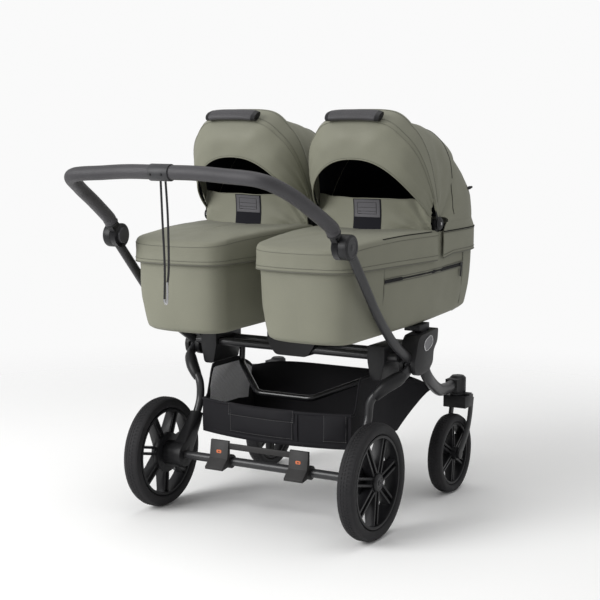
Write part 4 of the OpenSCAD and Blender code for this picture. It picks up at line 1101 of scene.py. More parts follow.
@dataclass
class Handle(Maker):
    """The padded bar with its seams, end caps, studs and wrist strap."""

    bar_r: float = 17.0
    mid_y: float = -434.0
    bar_z: float = 935.0
    strap_l: float = 285.0
    strap_w: float = 9.0

    def route(self) -> np.ndarray:
        """Draw the bar's middle line from the right hub to the left one."""
        half = spline([(326, -202.7, 789.9), (326, -211.6, 799.4), (326, -220.5, 808.8), (314, -290.9, 851.2),
                       (300, -364, 891), (266.1, -429.1, 921.8),
                       (168, -432.6, 930.6), (90, self.mid_y, self.bar_z), (0, self.mid_y, self.bar_z)], 14)
        return np.concatenate((half, (half * (-1, 1, 1))[-2::-1]))

    def build(self) -> None:
        """Build the bar and what is on it."""
        path = self.route()
        rings = sweep(path, (self.bar_r, self.bar_r), (0, 0, 1), 28)
        bar = surface("handle_bar_padded", rings, [self.paint.leather], wrap=True, cap=True, smooth=50)
        seam = tube("handle_seam", rings[10:-10, 7], (0.7, 0.7), (0, 0, 1), self.paint.black, 6)
        lines = [rings[10:-10, 6] * 0.55 + rings[10:-10, 7] * 0.45, rings[10:-10, 8] * 0.55 + rings[10:-10, 7] * 0.45]
        sewn = self.kit.sew("handle_stitches", lines, self.paint.grey_thread, 0.0052, 0.0036, 0.0005)
        caps = [self.collar(path[a:b], name) for a, b, name in ((0, 9, "cap_right"), (-9, None, "cap_left"))]
        place(joined(bar, seam, sewn, *caps), "handle", "leatherette", "handle_bar")
        screws = link("collar_screws", bpy.data.meshes.new("collar_screws"), [])
        screws.data.from_pydata(to_row([(x, self.mid_y - 19.2, self.bar_z - 4) for x in (-19, 12)]).tolist(), [], [])
        place(self.kit.grow(screws, self.kit.studs, {"Radius": 0.0034, "Material": self.paint.black}), "handle",
              "black_plastic")
        self.strap()

    def collar(self, path: np.ndarray, name: str) -> Object:
        """Make the moulded end cap over an end of the padding."""
        r = self.bar_r
        halves = [(r - 1.2 + 2.2 * math.sin(math.pi * lerp(0.12, 0.88, k / (len(path) - 1))),) * 2
                  for k in range(len(path))]
        return tube(name, path, halves, (0, 0, 1), self.paint.black, 28)

    def strap(self) -> None:
        """Hang the wrist strap's two runs of webbing and the metal end that holds them."""
        top, bottom = self.bar_z - 20.6, self.bar_z - 20.4 - self.strap_l
        for k, (name, x, low) in enumerate((("wrist_strap_front", -4.6, 3.0), ("wrist_strap_back", 4.6, 44.0))):
            route = spline([(x * wide, self.mid_y + back, z) for wide, back, z in (
                (1.5, 6.0, top), (1.7, 12.0, lerp(top, bottom, 0.3)), (1.25, 16.0, lerp(top, bottom, 0.7)),
                        (0.9, 11.4, bottom + low))], 14)
            run = tube(name, route, (1.3, self.strap_w * 0.36), (1, 0, 0), self.paint.webbing, 12)
            place(run, "strap", "black_fabric", *(("wrist_strap",) if k == 0 else ()))
        bow = spline([(4.2, self.mid_y + 11.8, bottom + 50), (4.4, self.mid_y + 11.4, bottom + 22),
                      (3.2, self.mid_y + 11.4, bottom + 4),
                      (0.0, self.mid_y + 11.4, bottom - 1), (-3.4, self.mid_y + 11.4, bottom + 4),
                      (-4.2, self.mid_y + 11.4, bottom + 10)], 8)
        clasp = tube("strap_clasp", bow, (1.9, 3.0), (1, 0, 0), self.paint.steel, 14)
        place(clasp, "strap", "black_fabric")


@dataclass
class Basket(Maker):
    """The cloth basket: a sagging tub with a bound brim, pockets and net sides."""

    floor_z: float = 207.0
    half: float = 230.0
    rear_y: float = 22.0
    bow: float = 40.0
    nose_y: float = 330.0
    mouth_y: float = 402.7
    mouth_half: float = 302.2
    nose: float = 14.0
    low_brim: float = 296.0
    high_brim: float = 384.0
    mouth_z: float = 318.6
    far_rise: float = 36.0
    flare: float = 0.62

    def brim(self, y: float) -> float:
        """Height of the brim at a place along the pram."""
        if y < 240:
            return lerp(self.low_brim, self.high_brim, ease(y, 80, 116))
        return lerp(self.high_brim, self.mouth_z, (y - 240) / (self.mouth_y - 240))

    def ring(self, t: float) -> np.ndarray:
        """Draw the basket's outline at a share of its height.

        Args:
            t: 0 at the floor, 1 at the brim.

        Returns:
            A closed ring of points, from the middle of the rear round by the right.
        """
        half, flare = self.half, (self.mouth_half - self.half) * t
        y0, y1 = self.rear_y + self.bow, lerp(self.nose_y, self.mouth_y, t)
        right = [(half * s, y0 - self.bow * (1 - s * s)) for s in np.linspace(0, 1, 17)[:-1]]
        for s in np.linspace(0, 1, 41):
            out = flare * max(0.0, (s - self.flare) / (1 - self.flare)) ** 2
            right.append((half + out, lerp(y0, y1, s)))
        right += [((half + flare) * (1 - s), y1 + self.nose * (1 - (1 - s) ** 2)) for s in np.linspace(0, 1, 21)[1:]]
        ring = right + [(-x, y) for x, y in right[-2:0:-1]]
        points = []
        for x, y in ring:
            rise = self.far_rise * ease(y, 330, 400) * (1 - min(1.0, abs(x) / self.mouth_half) ** 4)
            z = lerp(self.floor_z, self.brim(y) + rise, t)
            slack = math.sin(math.pi * t)
            give = 2.2 * slack * ripple(x, y, z, 70, 3.0) + 1.2 * slack * ripple(x, y, z, 26, 8.0)
            out = np.array((x, y - 180.0)) / math.hypot(x, y - 180.0)
            points.append((x + give * out[0], y + give * out[1], z))
        return np.array(points)

    def build(self) -> None:
        """Build the tub, its binding, pockets and seams."""
        levels = (0, 0.05, 0.14, 0.28, 0.42, 0.56, 0.7, 0.84, 0.93, 1)
        rings = [self.ring(t) for t in levels]
        inset = [0.02, 0.3, 0.6, 0.85, 0.96]
        middle = np.array((0, 185.0, 0))
        floor = []
        for s in inset:
            row = middle + (rings[0] - middle) * (s, s, 1)
            row[:, 2] -= 5.0 * (1 - s ** 3)
            floor.append(row)
        rings[0] = rings[0] - (0, 0, 0.2)
        tub = surface("basket_tub", np.array(floor + rings), [self.paint.basket, self.paint.basket], wrap=True,
                      away=(0, 190, 300),
                      wall=2.2, smooth=55)
        brim = rings[-1]
        path = np.concatenate((brim, brim[:2]))
        binding = tube("basket_binding", path, (2.6, 4.2), (0, 0, 1), self.paint.basket, 10)
        place(joined(tub, binding), "chassis", "black_fabric", "basket")
        self.pockets()
        self.nets()

    def rear_y_at(self, x: float) -> float:
        """Where the rear panel stands at a place across the pram."""
        return self.rear_y + self.bow * min(1.0, abs(x) / self.half) ** 2

    def panel(self, name: str, x0: float, x1: float, z0: float, z1: float, out: float, puff: float,
              material: Material) -> Object:
        """Sew a flat panel onto the rear of the basket.

        Args:
            name: Name of the panel.
            x0: Left edge.
            x1: Right edge.
            z0: Lower edge.
            z1: Upper edge.
            out: How far it stands off the basket.
            puff: How far its middle swells.
            material: Its material.

        Returns:
            The panel.
        """
        rows = []
        for s in np.linspace(0, 1, 15):
            row = []
            for t in np.linspace(0, 1, 31):
                x, z = lerp(x0, x1, t), lerp(z0, z1, s)
                swell = (1 - (2 * t - 1) ** 6) * (1 - (2 * s - 1) ** 6)
                wave = 1.6 * ripple(x, 0, z, 34, 5.0) * swell
                row.append((x, self.rear_y_at(x) - 1.6 - out * swell
                            - puff * math.sin(math.pi * t) * math.sin(math.pi * s) + wave, z))
            rows.append(row)
        return surface(name, rows, [material], away=((x0 + x1) / 2, 200, (z0 + z1) / 2), wall=1.6, smooth=50)

    def pockets(self) -> None:
        """Sew the pockets onto the rear panel, with their flap and stitched edges."""
        pieces = [self.panel("basket_pockets", -121, 78, 224, 282, 3.2, 4.0, self.paint.basket),
                  self.panel("pocket_flap", -124, 82, 268, 302, 6.6, 3.0, self.paint.basket),
                  self.panel("pocket_right", 160, 222, 224, 296, 3.0, 5.0, self.paint.basket),
                  self.panel("rear_hem", -206, 206, 209, 219, 1.2, 0.6, self.paint.basket),
                  self.panel("rear_seam", 88, 92, 220, 296, 1.4, 0.5, self.paint.basket)]
        lines = []
        for x0, x1, z0, z1, out in ((-119, 76, 226, 280, 4.0), (-122, 80, 271, 299, 8.0), (163, 219, 227, 293, 4.0)):
            box = [(x0, z1), (x0, z0), (x1, z0), (x1, z1)]
            for (xa, za), (xb, zb) in zip(box, box[1:]):
                lines.append(np.array([(lerp(xa, xb, k / 24), self.rear_y_at(lerp(xa, xb, k / 24)) - out + 0.6,
                                        lerp(za, zb, k / 24))
                                       for k in range(25)]))
        sewn = self.kit.sew("pocket_stitches", lines, self.paint.grey_thread, 0.005, 0.0032, 0.0005)
        place(joined(*pieces, sewn), "chassis", "black_fabric")

    def nets(self) -> None:
        """Set a net panel into the inside of each long wall, with a darker band below it; its near-white bars are
        partly painted light on the wall's shaded inner face.
        """
        for side in Side:
            rows = []
            for t in np.linspace(0.34, 0.95, 9):
                ring = self.ring(float(t))
                line = ring[20:49] if side is Side.RIGHT else ring[::-1][19:48]
                rows.append(line - (side.value * 3.6, 0, 0))
            net = surface(f"basket_net_{side.tag}", rows, [self.paint.net], away=(side.value * 600, 190, 300), wall=0.6)
            place(net, "chassis", "black_fabric")


@dataclass
class Cot(Maker):
    """One carrycot: padded tub, mattress, apron with its wind flap, and zip."""

    side: Side
    pitch: float = 372.0
    half: float = 183.0
    length: float = 744.0
    foot_y: float = -152.0
    rim_z: float = 760.0
    foot_z: float = 500.0
    dip: float = 20.0
    dip_run: float = 330.0
    flap_half: float = 167.0
    head_z: float = 538.0
    skirt_z: float = 688.0
    mouth_y: float = 226.0
    arm_y: float = 280.0
    flap_h: float = 86.0
    flap_bow: float = 46.0
    plan: tuple = ((0, 0), (0.34, 0.005), (0.61, 0.024), (0.745, 0.067), (0.777, 0.134), (0.886, 0.336), (0.985, 0.55),
                   (1, 0.7), (0.99, 0.86), (0.9, 0.955), (0.55, 0.992), (0, 1))
    levels: tuple = ((0, 0.78, 0.078, 0.062), (0.025, 0.84, 0.055, 0.042), (0.1, 0.885, 0.038, 0.03),
                     (0.45, 0.935, 0.018, 0.018), (1, 0.955, 0.014, 0.012))

    def __post_init__(self) -> None:
        """Work out the cot's middle and its outline."""
        self.x = self.side.value * self.pitch / 2
        right = spline(self.plan, 7)
        self.outline = np.concatenate((right, (right * (-1, 1))[-2:0:-1]))
        self.tag = self.side.tag
        self.body = f"cot_{self.tag}"

    def bottom(self, y: float) -> float:
        """Height of the tub's underside at a place along the pram."""
        return lerp(self.foot_z, self.head_z, (y - self.foot_y) / self.length)

    def rim(self, y: float) -> float:
        """Height of the rim at a place along the pram; it dips towards the foot."""
        return self.rim_z - self.dip * max(0.0, 1 - (y - self.foot_y) / self.dip_run) ** 2

    def ring(self, level: Sequence[float], wall: float) -> np.ndarray:
        """Draw the tub's outline at a level.

        Args:
            level: Height share, width share, foot inset share and head inset share.
            wall: How far inside the outer face.

        Returns:
            A closed ring of points.
        """
        high, wide, foot, head = level
        y0, y1 = self.foot_y + self.length * foot + wall, self.foot_y + self.length * (1 - head) - wall
        points = []
        for px, py in self.outline:
            y = lerp(y0, y1, py)
            points.append((self.x + px * (self.half * wide - wall), y, lerp(self.bottom(y) + wall, self.rim(y), high)))
        return np.array(points)

    def build(self) -> None:
        """Build everything that lifts off with the cot, but the hood."""
        self.tub()
        self.apron()
        self.flap()
        self.zip()
        self.mattress()

    def tub(self) -> None:
        """Build the padded tub with its lining and panel seams."""
        rings = []
        for level in spline(self.levels, 5):
            ring = self.ring(level, 0.0)
            for p in ring:
                slack = math.sin(math.pi * min(1.0, level[0])) ** 0.5
                give = 2.2 * slack * ripple(*p, 95, 1.0 + self.side.value) + 0.9 * slack * ripple(*p, 34, 2.0)
                p[0] += give * math.copysign(1.0, p[0] - self.x)
                p[1] += give * math.copysign(0.7, p[1] - 220)
            rings.append(ring)
        middle = np.array((self.x, 220.0, 0))
        under = []
        for s in (0.04, 0.5, 0.9):
            row = middle + (rings[0] - middle) * (s, s, 1)
            row[:, 2] = [self.bottom(y) for y in row[:, 1]]
            under.append(row)
        tub = surface(f"cot_tub_{self.tag}", np.array(under + rings), [self.paint.olive, self.paint.lining], wrap=True,
                      away=(self.x, 220, 640), wall=9.0, smooth=55)
        seams, lines = [], []
        s = self.side.value
        for place_y in (44.0, 462.0):
            path = np.array([self.wall_point(place_y, z, s, 0.3) for z in np.linspace(530, 756, 40)])
            seams.append(tube("cot_seam", path, (0.8, 0.8), (1, 0, 0), self.paint.olive_edge_and_shade, 6))
            lines.append(path + (s * 0.3, 4.0, 0))
        sewn = self.kit.sew("cot_stitches", lines, self.paint.thread, 0.0046, 0.003, 0.00045)
        place(joined(tub, sewn, *seams), self.body, "olive_fabric", f"cot_body_{self.tag}")

    def cover_point(self, p: Sequence[float], wide: float) -> np.ndarray:
        """Give the plan of a point of the apron.

        Args:
            p: Outline point as shares.
            wide: Width share, 1 at the rim.

        Returns:
            The point in source millimetres, with no height yet.
        """
        along = (2 * p[1] - 1) * lerp(1, wide, 0.55)
        return np.array((self.x + p[0] * self.half * wide, self.foot_y + self.length * (1 + along) / 2, 0.0))

    def mouth(self, x: float) -> float:
        """Where the apron's top ends, at a distance across from the cot's middle."""
        return self.mouth_y + self.flap_bow * (x / self.flap_half) ** 2 - 2.0

    def apron(self) -> None:
        """Build the apron: a crowned top, an overhanging skirt, bound hem and double seams."""
        count = len(self.outline)
        order = [k % count for k in range(count // 2, count // 2 + count)]
        columns = [self.outline[k] for k in order if self.foot_y + self.length * self.outline[k][1] < self.arm_y + 25]
        skirt = ((0.0, 1.0), (0.05, 1.004), (0.2, 1.003), (0.42, 1.0), (0.64, 0.998), (0.84, 1.0))
        top = ((-12.0, 1.001), (-8.0, 0.999), (-3.6, 0.994), (0.0, 0.986), (2.8, 0.972), (4.8, 0.945), (6.0, 0.9),
               (6.8, 0.82),
               (7.2, 0.7), (7.4, 0.52), (7.4, 0.3), (7.4, 0.12), (7.4, 0.004))
        rows = []
        for share, lift, wide in [(s, 0.0, w) for s, w in skirt] + [(1.0, u, w) for u, w in top]:
            row = []
            for p in columns:
                q = self.cover_point(p, wide)
                x = q[0] - self.x
                rim = self.rim(q[1])
                q[2] = rim + lift if share == 1 else lerp(self.skirt_z, rim - 12.0, share)
                crease = math.sin(0.021 * (q[1] + 0.5 * x) + 2.2 * ripple(q[0], q[1], 0, 150, 1.5)) * ease(1 - wide,
                        0.01, 0.3)
                q[2] += (2.4 * ripple(q[0], q[1], 0, 62, 4.0 + self.side.value) + 1.5 * crease) * ease(lift, 3, 7)
                if share < 1:
                    give = (1.1 * ripple(q[0], q[1], q[2], 48, 6.0) + 0.9 * ripple(q[0], q[1], 0, 22, 3.0)) * ease(1
                            - share, 0, 0.4)
                    q[1] += give * (-1 if abs(p[0]) < 0.75 else 0)
                    q[0] += give * math.copysign(1.0 if abs(p[0]) >= 0.75 else 0.0, x)
                limit = self.mouth(x) if abs(x) < 153 else self.arm_y
                q[1] = min(q[1], limit)
                row.append(q)
            rows.append(row)
        grid = np.array(rows)
        # The apron's inner face and bound hem take the darker olive, partly painted shade under its overhang.
        cloth = surface(f"apron_cloth_{self.tag}", grid, [self.paint.olive, self.paint.olive_edge_and_shade],
                        away=(self.x, 80, 720), wall=2.4, smooth=60)
        s = self.side.value
        # A near-black cord along the apron's outer shoulder stands in for the shade in the slit there: painted shade.
        gap = [self.cover_point(p, 0.974) for p in self.outline if p[0] * s > 0.7]
        gap = sorted((q for q in gap if 30 < q[1] < 272), key=lambda q: q[1])
        slit_shade = tube(f"apron_slit_{self.tag}", [q + (0, 0, self.rim(q[1]) + 3.2) for q in gap], (1.5, 1.3), (0, 0, 1),
                    self.paint.piping, 8)
        hem = tube(f"apron_hem_{self.tag}", grid[0] + (0, 0, -0.6), (1.7, 2.0), (0, 0, 1), self.paint.olive_edge_and_shade, 8)
        middle = np.array((self.x, 80.0, 0))
        lines = []
        for k, low, grow in ((2, 0, 1.003), (7, 0, 1.002)):
            line = middle + (grid[k] - middle) * (grow, grow, 1) + (0, 0, low)
            lines.append(line)
        sewn = self.kit.sew("apron_stitches", lines, self.paint.thread)
        place(joined(cloth, hem, slit_shade, sewn), self.body, "olive_fabric", f"apron_{self.tag}")

    def flap_point(self, s: float, t: float, out: float = 0.0) -> np.ndarray:
        """Give a point of the raised wind flap.

        Args:
            s: From -1 at its left end to 1 at its right end.
            t: From 0 at its foot to 1 at its top.
            out: How far off its face towards the handle.

        Returns:
            The point in source millimetres.
        """
        x = self.flap_half * s
        ends = ease(abs(s), 0.35, 0.95)
        fan = math.atan2(t + 0.12, 2.2 * (1.04 - s))
        fold = ends * (3.0 * math.sin(9.0 * s + 3.0 * t) * t + 2.6 * ripple(x, 0, 86 * t, 24, 7.0)) + 4.2 * ease(s,
                0.25, 0.7) * math.sin(13 * fan)
        top = self.flap_h * (1 - 0.42 * ease(s, 0.72, 1.0) + 0.05 * ease(-s, 0.6, 1.0)) + 3.0 * ripple(x, 0, 0, 60, 3.0
                + self.side.value)
        y = self.mouth_y - 2.0 + self.flap_bow * s * s + 4.0 * math.sin(math.pi * t) * (1 - ends) + fold - out
        return np.array((self.x + x, y, lerp(self.rim_z + 2, self.rim_z + 0.5 + top, t)))

    def flap_grid(self, wide: float, low: float, high: float, shape: tuple[int, int], out: float = 0.0) -> Grid:
        """Lay rows of points over a part of the wind flap.

        Args:
            wide: Share of its half width.
            low: Share of its height where the part starts.
            high: Share where it ends.
            shape: How many rows, and points in a row.
            out: How far off its face.

        Returns:
            The rows, from the lowest.
        """
        return np.array([[self.flap_point(s, t, out) for s in np.linspace(-wide, wide, shape[1])]
                         for t in np.linspace(low, high, shape[0])])

    def flap(self) -> None:
        """Build the wind flap and the leatherette patch that is sewn onto its middle."""
        rows = self.flap_grid(1, 0, 1, (15, 61))
        cloth = surface(f"wind_flap_{self.tag}", rows, [self.paint.olive, self.paint.olive], away=(self.x, 400, 800),
                        wall=3.4, smooth=60)
        hem = tube(f"flap_hem_{self.tag}", rows[-1] + (0, 1.7, 0), (2.3, 1.8), (0, 0, 1), self.paint.olive, 8)
        place(joined(cloth, hem), self.body, "olive_fabric")
        self.patch()

    def patch(self) -> None:
        """Sew on the bare two-tone patch with its pressed frames."""
        wide = 41 / self.flap_half
        rows = self.flap_grid(wide, 0.02, 0.99, (17, 17), 1.3)
        base = surface(f"flap_patch_{self.tag}", rows, [self.paint.lining], away=(self.x, 400, 800), wall=1.3,
                       smooth=45)
        light = self.flap_grid(wide * 0.92, 0.42, 0.97, (11, 17), 1.9)
        upper = surface(f"patch_light_{self.tag}", light, [self.paint.leather_light], away=(self.x, 400, 800), wall=0.8,
                        smooth=45)
        frames, lines = [], []
        for low, high, out in ((0.52, 0.88, 2.1), (0.6, 0.72, 2.1)):
            box = [(-0.68, low), (0.68, low), (0.68, high), (-0.68, high), (-0.68, low)]
            path = np.array([self.flap_point(wide * lerp(a[0], b[0], k / 8), lerp(a[1], b[1], k / 8), out)
                             for a, b in zip(box, box[1:]) for k in range(8)])
            frames.append(tube("patch_frame", np.concatenate((path, path[:2])), (0.7, 0.7), (0, 1, 0),
                               self.paint.leather, 6))
        box = [(-0.87, 0.44), (0.87, 0.44), (0.87, 0.95), (-0.87, 0.95), (-0.87, 0.44)]
        for a, b in zip(box, box[1:]):
            lines.append(np.array([self.flap_point(wide * lerp(a[0], b[0], k / 20), lerp(a[1], b[1], k / 20), 1.9)
                                   for k in range(21)]))
        sewn = self.kit.sew("patch_stitches", lines, self.paint.grey_thread, 0.0042, 0.0028, 0.00045)
        place(joined(base, upper, sewn, *frames), self.body, "leatherette")

    def zip(self) -> None:
        """Set the zip into the tub's outer side, with tape, teeth, slider and pull."""
        s = self.side.value
        path = []
        for y in np.linspace(46, 459, 60):
            z = lerp(652, 662, (y - 46) / 413)
            path.append(self.wall_point(y, z, s, 0.8))
        path = np.array(path)
        tape = tube(f"zip_tape_{self.tag}", path, (5.2, 0.9), (1, 0, 0), self.paint.basket, 10)
        lips = [tube("zip_lip", path + (s * 0.6, 0, dz), (1.7, 1.3), (1, 0, 0), self.paint.olive_edge_and_shade, 8)
                for dz in (-6.0, 6.0)]
        teeth = self.kit.grow(line_mesh("zip_teeth", [path + (s * 1.0, 0, 0)]), self.kit.teeth, {
            "Pitch": 0.0024, "Long": 0.0013, "Thick": 0.0016, "High": 0.0046, "Material": self.paint.black})
        head = path[-3] + (s * 2.4, 0, 0)
        slider = tube("zip_slider", [head + (0, k, 0) for k in (-8, -6, 0, 6, 8)],
                      [(2.4, 1.2), (4.6, 2.0), (5.0, 2.4), (4.2, 2.0), (2.0, 1.2)], (1, 0, 0), self.paint.black, 14)
        pull = tube("zip_pull", [head + (s * 1.6, 2 - k * 0.25, -k) for k in (2, 6, 16, 30, 33)],
                    [(1.6, 1.0), (3.4, 1.3), (4.2, 1.4), (4.6, 1.5), (3.0, 1.0)], (1, 0, 0), self.paint.black, 12)
        place(joined(tape, teeth, slider, pull, *lips), self.body, "black_plastic")

    def wall_point(self, y: float, z: float, s: int, out: float) -> np.ndarray:
        """Give a point on the tub's side wall.

        Args:
            y: Place along the pram.
            z: Height.
            s: 1 for its right wall, -1 for its left.
            out: How far off the wall.

        Returns:
            The point in source millimetres.
        """
        high = (z - self.bottom(y)) / (self.rim(y) - self.bottom(y))
        shares = np.array(self.levels)
        wide, foot, head = (float(np.interp(high, shares[:, 0], shares[:, k])) for k in (1, 2, 3))
        y0, y1 = self.foot_y + self.length * foot, self.foot_y + self.length * (1 - head)
        right = self.outline[: len(self.outline) // 2 + 1]
        px = float(np.interp((y - y0) / (y1 - y0), right[:, 1], right[:, 0]))
        return np.array((self.x + s * (px * self.half * wide + out), y, z))

    def mattress(self) -> None:
        """Build the mattress as a pad swollen by cloth simulation."""
        wall, gap, high = 12.0, 11.0, 40.0
        level = self.levels[1]
        rows = []
        for plan, lift in ((0.02, 0.0), (0.5, 0.0), (0.9, 0.0), (0.97, 0.1), (1.0, 0.5), (0.97, 0.9), (0.88, 1.0),
                           (0.5, 1.06), (0.02, 1.08)):
            row = []
            for px, py in self.outline:
                y0, y1 = self.foot_y + self.length * level[2] + wall + gap, self.foot_y + self.length * (1
                        - level[3]) - wall - gap
                y = lerp(y0, y1, (1 + (2 * py - 1) * plan) / 2)
                row.append((self.x + px * (self.half * level[1] - wall - gap) * plan, y, self.bottom(y) + wall + 3.0
                            + high * lift))
            rows.append(row)
        pad = surface(f"mattress_pad_{self.tag}", rows, [self.paint.cotton], wrap=True, cap=True)
        self.swell(pad)
        place(pad, self.body, "mattress_cover", f"mattress_{self.tag}")

    @staticmethod
    def swell(pad: Object) -> None:
        """Blow a pad up a little with cloth pressure, and keep the result.

        Args:
            pad: A closed mesh object.
        """
        again = pad.modifiers.new("Even", "REMESH")
        again.mode = "VOXEL"
        again.voxel_size = 0.009
        settle(pad)
        before = np.array([v.co for v in pad.data.vertices])
        cloth = pad.modifiers.new("Swell", "CLOTH")
        cloth.settings.quality = 4
        cloth.settings.use_pressure = True
        cloth.settings.uniform_pressure_force = 3.0
        cloth.settings.effector_weights.gravity = 0.0
        cloth.point_cache.frame_start = 1
        cloth.point_cache.frame_end = 12
        for step in range(1, 13):
            bpy.context.scene.frame_set(step)
        settle(pad)
        bpy.context.scene.frame_set(1)
        after = np.array([v.co for v in pad.data.vertices])
        move = after - before
        far = np.maximum(np.linalg.norm(move, axis=1, keepdims=True), 1e-9)
        after = before + move * np.minimum(1.0, 0.006 / far)
        after[:, 2] = np.where(move[:, 2] < 0, np.maximum(after[:, 2], before[:, 2] - 0.001), after[:, 2])
        pad.data.vertices.foreach_set("co", after.ravel())
        pad.data.update()
        shade(pad, 60)


@dataclass
class Hood(Maker):
    """One folding hood: bow sleeve, two gores, skirt, visor and grip."""

    side: Side
    pitch: float = 372.0
    hinge_y: float = 296.0
    hinge_z: float = 782.0
    bow_half: float = 179.0
    bow_r: float = 292.0
    gore_half: float = 173.4
    gore_r: float = 286.4
    rear_half: float = 169.8
    rear_r: float = 282.8
    cot_half: float = 183.0
    head_reach: float = 296.0
    skirt_z: float = 698.0
    visor_r: float = 229.0
    visor_bulge: float = 12.0
    grip_half: float = 77.0
    power: float = 0.58
    skirt_power: float = 0.35
    seam_reach: float = 112.0
    bow_lift: float = 14.0
    swell: float = 13.0
    first_turn: float = -14.0
    last_turn: float = 91.0

    def __post_init__(self) -> None:
        """Work out the hood's middle and its body."""
        self.x = self.side.value * self.pitch / 2
        self.tag = self.side.tag
        self.hinge = np.array((self.x, self.hinge_y, self.hinge_z))
        self.body = f"hood_{self.tag}"
        self.cot = f"cot_{self.tag}"

    def profile(self, half: float, r: float, a: float, power: float = 0.58) -> tuple[float, float]:
        """Give reach and half width of the hood's arch at a turn along it; a lower power makes it squarer."""
        c, s = math.cos(a), abs(math.sin(a))
        return r * s ** power, half * swung(c, power)

    def bow(self, out: float, a: float) -> tuple[float, float]:
        """Give reach and half width of the bow at out from its line; it rises to a crest under the grip."""
        reach, wide = self.profile(self.bow_half + out, self.bow_r + out, a)
        return reach + self.bow_lift * ease(abs(math.sin(a)), 0.8, 0.985), wide

    def skirt_edge(self, half: float, r: float, a: float) -> tuple[float, float]:
        """Give reach and half width of the skirt's squarer edge at the same turn."""
        share = abs(math.sin(a)) ** self.power
        wide = max(0.0, 1 - share ** (2 / self.skirt_power)) ** (self.skirt_power / 2)
        return r * share, half * math.copysign(wide, math.cos(a))

    def turns(self, r: float, reach: float, count: int) -> np.ndarray:
        """Give turns along the arch, from one end to the other.

        Args:
            r: Reach at the top.
            reach: Reach where the arch starts.
            count: Samples.

        Returns:
            The turns, close together at the ends and at the top.
        """
        start = math.asin((reach / r) ** (1 / self.power))
        return np.array([start + (math.pi - 2 * start) * (t - 0.07 * math.sin(4 * math.pi * t))
                         for t in np.linspace(0, 1, count)])

    def point(self, x: float, r: float, back: float) -> np.ndarray:
        """Give a point at a reach from the hinge, turned back from upright by degrees."""
        t = math.radians(back)
        return np.array((self.x + x, self.hinge_y + r * math.sin(t), self.hinge_z + r * math.cos(t)))

    def gore(self, half: float, r: float, first: float, last: float, sag: float, swell: float, seed: float) -> Grid:
        """Lay a gore of the hood between two turns back.

        Args:
            half: Half width.
            r: Reach.
            first: Turn of its front edge, in degrees back from upright.
            last: Turn of its rear edge.
            sag: How far its middle hangs in.
            swell: How far it fills out towards its rear edge.
            seed: Start of its wrinkles.

        Returns:
            Rows of points from front to rear.
        """
        rows = []
        for t in np.linspace(0, 1, 31):
            row = []
            full = swell * ease(t, 0.1, 0.8)
            for a in self.turns(r, 24, 91):
                reach, wide = self.profile(half + full, r + full, a, self.power - 0.0108 * full)
                top = math.sin(a)
                hang = sag * math.sin(math.pi * t ** 0.8) * (0.2 + 0.8 * top)
                low = math.sin(math.pi * t) * ease(reach, 30, 90)
                fold = low * (3.2 * ripple(wide, reach, 300 * t, 52, seed)
                              + 2.2 * (1 - top) * math.sin(15 * t + 0.02 * reach))
                shrink = 1 - (hang - fold) / r
                row.append(self.point(wide * (1 - 0.5 * (hang - fold) / half), reach * shrink, lerp(first, last, t)))
            rows.append(row)
        return np.array(rows)

    def build(self) -> None:
        """Build the hood."""
        self.front()
        self.rear()
        self.visor()
        self.grip()
        for s in (-1, 1):
            self.hinge_cover(s)

    def front(self) -> None:
        """Build the bow's sleeve with the gore behind it."""
        section = [(-28.0, -4.6), (-28.3, -2.4), (-27.8, -0.6), (-26.6, 0.2), (-23.0, 0.5), (-17.0, 0.5), (-13.6, 0.2),
                   (-12.4, -0.6),
                   (-11.9, -2.4), (-12.2, -4.6), (-17.0, -5.0), (-23.0, -5.0)]
        rows = []
        for a in self.turns(self.bow_r, 20, 97):
            row = []
            for back, out in section:
                reach, wide = self.bow(out, a)
                row.append(self.point(wide, reach, back))
            rows.append(row)
        sleeve = surface(f"bow_sleeve_{self.tag}", rows, [self.paint.olive], wrap=True, cap=True, smooth=50)
        grid = self.gore(self.gore_half, self.gore_r, self.first_turn, 42.0, 17.0, 0.0, 3.0 + self.side.value)
        cloth = surface(f"front_gore_{self.tag}", grid, [self.paint.olive, self.paint.lining], away=self.hinge,
                        wall=1.8,
                        smooth=60)
        piping = self.piping(grid)
        arms = []
        for s in (-1, 1):
            path = [self.point(s * (self.bow_half - 2.5), r, -20) for r in (-12, -8, 0, 14, 28, 40)]
            arms.append(tube("bow_arm", path, [(5, 1.2), (10, 2.4), (12, 2.5), (10, 2.5), (9, 2.3), (7, 1.6)],
                             (1, 0, 0), self.paint.black, 20))
        lines = []
        for back, out in ((-25.6, 0.9), (-14.6, 0.9)):
            lines.append(np.array([self.point(w, r, back) for r,
                                   w in (self.bow(out, a) for a in self.turns(self.bow_r, 60, 160))]))
        sewn = self.kit.sew("hood_stitches", lines, self.paint.thread)
        place(joined(sleeve, sewn, *arms), self.body, "olive_fabric", f"hood_bow_{self.tag}")
        self.bend(joined(cloth, *piping))
        self.declare(cloth, grid, "stretched", [sleeve.name])

    def bend(self, cloth: Object) -> None:
        """Bake a gore's transform into its mesh; the gore is not made to close up between the bow and the cot.

        Args:
            cloth: The gore.
        """
        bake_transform(cloth)

